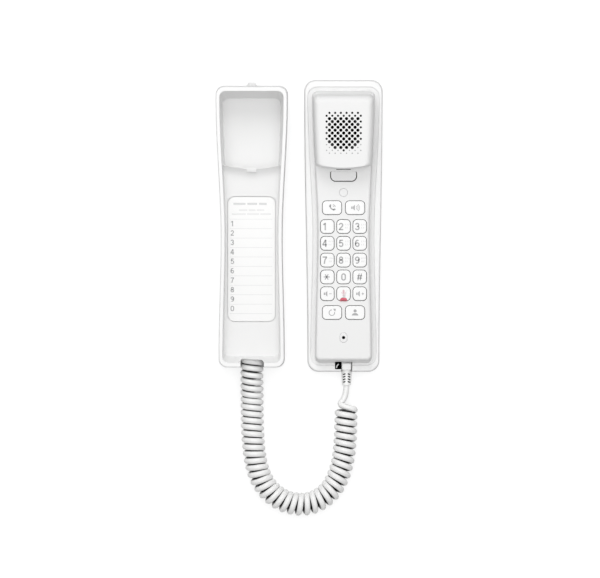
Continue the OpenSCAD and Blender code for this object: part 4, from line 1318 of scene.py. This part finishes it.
def stroke(points, width, steps=6):
    """Outline of a line with round ends through two points."""
    (x0, y0), (x1, y1) = points
    a = math.degrees(math.atan2(y1 - y0, x1 - x0))
    return arc((x1, y1), width / 2, a - 90, a + 90, steps) + arc((x0, y0), width / 2, a + 90, a + 270, steps)


def band(centre, radius, width, start, stop, steps=12):
    """Outline of part of a ring."""
    outer = arc(centre, radius + width / 2, start, stop, steps)
    return outer + arc(centre, radius - width / 2, start, stop, steps)[::-1]


def moved(points, x, y):
    return [(px + x, py + y) for px, py in points]


def turned(points, degrees):
    c, s = math.cos(math.radians(degrees)), math.sin(math.radians(degrees))
    return [(x * c - y * s, x * s + y * c) for x, y in points]


def ribbon(path, width):
    """Outline of a line of even width along a path of points."""
    left, right = [], []
    for i, (x, y) in enumerate(path):
        x0, y0 = path[max(i - 1, 0)]
        x1, y1 = path[min(i + 1, len(path) - 1)]
        reach = width / 2 / math.hypot(x1 - x0, y1 - y0)
        left.append((x - (y1 - y0) * reach, y + (x1 - x0) * reach))
        right.append((x + (y1 - y0) * reach, y - (x1 - x0) * reach))
    return right + left[::-1]


def bar(x0, x1, y, height):
    """Outline of a level bar."""
    return [(x0, y - height / 2), (x1, y - height / 2), (x1, y + height / 2), (x0, y + height / 2)]


def speaker_mark(x):
    """Loudspeaker: a square back and a flared cone."""
    return [bar(x - 1.8, x - 0.7, 0, 1.8),
            [(x - 0.35, -0.9), (x + 0.9, -2.2), (x + 0.9, 2.2), (x - 0.35, 0.9)]]


def handset_mark():
    """Receiver of a telephone: a bowed grip with two ends."""
    grip = band((1.5, 1.5), 3.0, 0.95, 180, 270)
    ear = moved(turned(rounded(1.9, 1.2, 0.3), 68), -1.35, 1.65)
    mouth = moved(turned(rounded(1.9, 1.2, 0.3), 22), 1.65, -1.35)
    return [grip, ear, mouth]


MINUS = stroke(((1.5, 0), (3.1, 0)), ICON_W)
UPRIGHT = stroke(((2.3, -0.8), (2.3, 0.8)), ICON_W)

ICONS = {
    "key_line": handset_mark() + [band((0.4, 0.4), radius, 0.5, 5, 85, 8) for radius in (1.0, 2.0)],
    "key_speaker": speaker_mark(-1.1) + [band((-0.4, 0), radius, ARC_W, -45, 45, steps)
                                         for radius, steps in ((1.7, 8), (2.7, 12), (3.7, 12))],
    "key_volume_down": speaker_mark(-0.9) + [MINUS],
    "key_volume_up": speaker_mark(-0.9) + [MINUS, UPRIGHT],
    "key_mute": [moved(rounded(1.5, 2.9, 0.74), 0, 1.6), band((0, 1.3), 1.5, THIN_W, 180, 360),
                 stroke(((0, -0.2), (0, -1.0)), THIN_W), stroke(((-1.0, -1.1), (1.0, -1.1)), THIN_W)],
    "key_redial": [band((-0.15, -0.1), 2.1, 0.6, 88, 375, 30), [(0.7, 2.9), (2.9, 2.8), (2.4, 0.7)]],
    "key_contacts": [moved(circle(1.2, 20), 0, 1.25), oval((0, -2.2), 2.45, 1.85, 0, 180, 16)],
}

SIX = [oval((0.15, 0), 1.45, 2.3, 58, 180) + [(-1.3, -0.95)], oval((0, -0.98), 1.3, 1.32, -5, 355, 26)]
STAR_ARMS = [(2.3 * math.cos(a), 2.3 * math.sin(a)) for a in (0, math.pi / 3, math.pi * 2 / 3)]

# Pen paths of the printed signs, in a box 3.4 wide and 5.6 high about the origin
SIGNS = {
    "0": [arc((0, 1.0), 1.3, -2, 182, 14) + arc((0, -1.0), 1.3, 178, 362, 14) + [(1.3, 1.1)]],
    "1": [[(0.3, -2.8), (0.3, 2.8)], [(0.35, 2.3), (-0.35, 1.75), (-1.2, 1.4)]],
    "2": [oval((0, 1.05), 1.25, 1.28, 175, -38, 14) + [(-1.25, -2.2)], [(-1.65, -2.33), (1.65, -2.33)]],
    "3": [oval((-0.05, 1.18), 1.15, 1.15, 165, -90, 14), oval((-0.05, -1.07), 1.32, 1.27, 90, -165, 16)],
    "4": [[(0.7, -2.8), (0.7, 2.6)], [(0.6, 2.6), (-1.5, -1.0)], [(-1.75, -1.15), (1.65, -1.15)]],
    "5": [[(-1.05, 2.33), (1.45, 2.33)], [(-0.8, 2.4), (-1.15, -0.05)],
          oval((0, -0.85), 1.32, 1.48, 148, -160, 18)],
    "6": SIX,
    "7": [[(-1.65, 2.33), (1.65, 2.33)], [(1.35, 2.2), (0.1, 0.2), (-0.45, -2.8)]],
    "8": [oval((0, 1.22), 1.12, 1.12, -5, 355, 24), oval((0, -1.1), 1.32, 1.24, -5, 355, 24)],
    "9": [[(-x, -y) for x, y in path] for path in SIX],
    "star": [[(-x, -y), (x, y)] for x, y in STAR_ARMS],
    "hash": [[(-1.35, -2.6), (-0.35, 2.6)], [(0.35, -2.6), (1.35, 2.6)], [(-1.8, 0.85), (1.9, 0.85)],
             [(-1.9, -0.85), (1.8, -0.85)]],
}


def sign_lines(sign, scale, x, y):
    """Pen lines of a printed sign, scaled and moved into place."""
    return [[(px * scale + x, py * scale + y) for px, py in path] for path in SIGNS[sign]]


def legend(name, at, z):
    """Printed marks on a key's top."""
    if name in ICONS:
        material = MUTE_LEGEND if name == "key_mute" else LEGEND
        return [ink(name + "_mark", ICONS[name], at, z, material)]
    sign = name.split("_")[1]
    x = {"star": -0.5, "hash": -0.1, "0": 0}.get(sign, SIGN_X)
    pen = FINE_PEN_W if sign in ("star", "hash") else PEN_W
    marks = [ink(name + "_mark", [], at, z, LEGEND, sign_lines(sign, 1, x, 0), pen)]
    if sign in "23456789":
        marks.append(ink(name + "_letters", small_marks(4 if sign in "79" else 3), at, z, PALE_LEGEND))
    return marks


def small_marks(count):
    """Plain ticks in two short rows, where the letters would be."""
    ticks = []
    for row, y in enumerate(TICKS_Y):
        for i in range(count - row):
            x = TICKS_X + i * TICKS_SPAN / (count - 1)
            ticks.append(stroke(((x, y - 0.45), (x + 0.25, y + 0.55)), 0.32, 4))
    return ticks


# ---- Directory label ----

LABEL_W = 35.8
LABEL_L = 94.0
LABEL_R = 5.2
LABEL_GAP = 0.6
LABEL_Y = -24.2
LABEL_TOP = 18.65
CARD_T = 0.35

# Numbered rows: how many, their pitch, the first rule's height, the rules' ends and thickness
ROWS = "1234567890"
ROW_PITCH = 7.14
FIRST_RULE_Y = 6.0
RULE_ENDS = (-16.4, 15.6)
RULE_T = 0.2
ROW_SIGN_X = -14.6
ROW_SIGN_SCALE = 0.74

# Rows of the heading: height, bar height, and the bars' ends
TITLE = (17.6, 1.5, ((-13.8, -4.6), (-3.2, 4.2), (5.6, 11.4)))
SUBTITLE = (12.9, 0.6, ((-9.6, -3.2), (-2.2, 3.0), (4.0, 9.6)))
SMALL_PRINT = (9.9, 0.6, ((-15.0, -4.4), (-3.4, 5.6), (6.6, 14.6)))


def directory_label():
    """Card with ten numbered rows and a plain heading of bars."""
    shapes = cap_shapes(LABEL_W, LABEL_L, LABEL_R, LABEL_TOP - CARD_T, LABEL_TOP, 0.08)
    rules = [bar(*RULE_ENDS, FIRST_RULE_Y - ROW_PITCH * i, RULE_T) for i in range(len(ROWS) + 1)]
    marks = [prism("directory_card", shapes, PAPER, at=(0, LABEL_Y)),
             ink("rules", rules, (0, 0), LABEL_TOP, PALE_LEGEND)]
    for i, sign in enumerate(ROWS):
        y = FIRST_RULE_Y - ROW_PITCH * (i + 0.5) + 0.3
        lines = sign_lines(sign, ROW_SIGN_SCALE, ROW_SIGN_X, y)
        marks.append(ink("row_" + sign, [], (0, 0), LABEL_TOP, LEGEND, lines, PEN_W * ROW_SIGN_SCALE))
    heading = [bar(*span, y, height) for y, height, spans in (TITLE, SUBTITLE, SMALL_PRINT) for span in spans]
    marks.append(ink("heading", heading, (0, 0), LABEL_TOP, PALE_LEGEND))
    label = joined("directory_card", marks)
    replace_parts(label, "directory_label")
    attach(label, "cradle")


# ---- Plugs and boots ----

# Boot: a taper from its tip, with slots that leave a core in its middle
BOOT_L = 12.4
BOOT_D = 8.2
BOOT_TIP_D = 6.8
BOOT_SLOTS = 4
BOOT_SLOT_PITCH = 1.95
BOOT_SLOT_L = 2.1
BOOT_SLOT_W = 1.0
BOOT_SLOT_X = 1.85
BOOT_SLOT_LEAN = 22
FIRST_SLOT = 2.6
SLOT_FLOOR = 0.9

# Latch cover on the handset's plug
LATCH_L = 5.0
LATCH_W = 6.8
LATCH_LOW = 3.32
LATCH_TOP = 5.7
LATCH_BACK = 1.2
LATCH_EDGE = 0.3

# Plug and its contacts
PLUG_L = 13.2
CONTACTS_X = (-1.9, -0.63, 0.63, 1.9)
CONTACT_W = 0.4
CONTACT_L = 3.0


def boot(name, end, node):
    """Tapered strain relief with four pairs of leaning slots, front and back."""
    tip = BOOT_TIP_D / 2
    sections = [(0.0, tip - 0.5), (0.08, tip - 0.2), (0.3, tip)]
    sections += [(BOOT_L * k / 6, mix(tip, BOOT_D / 2, k / 6)) for k in range(1, 7)]
    rings = []
    for along, reach in sections:
        rings.append([(end[0] + x, end[1] + along, end[2] + z) for x, z in circle(reach, 32)])
    body = solid(name, rings, CORD_WHITE)
    # The slots are lined in black: painted shade
    slots = []
    for row in range(BOOT_SLOTS):
        y = end[1] + FIRST_SLOT + row * BOOT_SLOT_PITCH
        for side in (-1, 1):
            shape = turned(rounded(BOOT_SLOT_L, BOOT_SLOT_W, 0.35), -BOOT_SLOT_LEAN * side)
            shape = moved(shape, side * BOOT_SLOT_X, 0)
            for z0, z1 in ((end[2] + SLOT_FLOOR, end[2] + 5), (end[2] - 5, end[2] - SLOT_FLOOR)):
                slots.append(prism("slot", [(shape, z0), (shape, z1)], BLACK_AND_SLOT_SHADE, at=(end[0], y)))
    cut(body, joined("slots", slots))
    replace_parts(body, node)
    return body


def plug_latch(end):
    """White latch cover on top of the handset's plug, in the slot in the rim."""
    shape = rounded(LATCH_W, LATCH_L, 0.5)
    inner = rounded(LATCH_W - 2 * LATCH_EDGE, LATCH_L - 2 * LATCH_EDGE, 0.4)
    low, high = end[2] + LATCH_LOW, end[2] + LATCH_TOP
    cover = prism("plug_latch", [(shape, low), (shape, high - LATCH_EDGE), (inner, high)], CORD_WHITE,
                  at=(end[0], HANDSET_AT[1] + SLOT_Y[0] - LATCH_BACK - LATCH_L / 2))
    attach(cover, "handset")


def plug_contacts(name, end, body):
    """Four gold contacts at the plug's nose."""
    bm = bmesh.new()
    shape = rounded(CONTACT_W, CONTACT_L, 0.1)
    y = end[1] + BOOT_L + PLUG_L - CONTACT_L - 0.2
    for x in CONTACTS_X:
        skin(bm, [placed(shape, z, (end[0] + x, y)) for z in (end[2] - 3.1, end[2] - 2.0)])
    contacts = finished(name, bm, GOLD)
    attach(contacts, body)


def cord_ends():
    cradle_end, handset_end = CORD_ROUTE[0], CORD_ROUTE[-1]
    cradle_boot = boot("cradle_boot_relief", cradle_end, "cradle_plug_boot")
    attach(cradle_boot, "cradle")
    handset_boot = boot("handset_boot_relief", handset_end, "handset_plug_boot")
    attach(handset_boot, "handset")
    plug_contacts("cradle_plug_contacts", cradle_end, "cradle")
    plug_contacts("handset_plug_contacts", handset_end, "handset")
    plug_latch(handset_end)
    return [cradle_boot, handset_boot]


# ---- Carried-over CAD pieces ----

FINISHES = {
    STEEL: ("handset_screws", "cradle_screws", "receiver_magnet", "microphone"),
    BLACK_AND_SLOT_SHADE: ("receiver", "hook_switch", "handset_cord_jack", "cradle_cord_jack", "line_jack", "ringer"),
    RUBBER: ("receiver_gasket", "keypad_membrane", "microphone_boot"),
    BOARD: ("handset_board", "cradle_board"),
    LENS: ("status_lamp_lens",),
    CLEAR: ("handset_plug", "cradle_plug"),
    WHITE: ("wall_plate",),
}


def paint_cad():
    """Gives each CAD piece that still shows its own finish."""
    for material, names in FINISHES.items():
        for name in names:
            node = frame["nodes"][name]
            node.data.materials.clear()
            node.data.materials.append(material)


# ---- The phone ----

bpy.context.scene.view_settings.view_transform = "Standard"
camera()
world()
lights()
floor()
curly_cord(cord_ends())
cradle_shell()
directory_label()
handset_rear()
handset_shells()
keys()
mute_lens()
hook_button()
paint_cad()
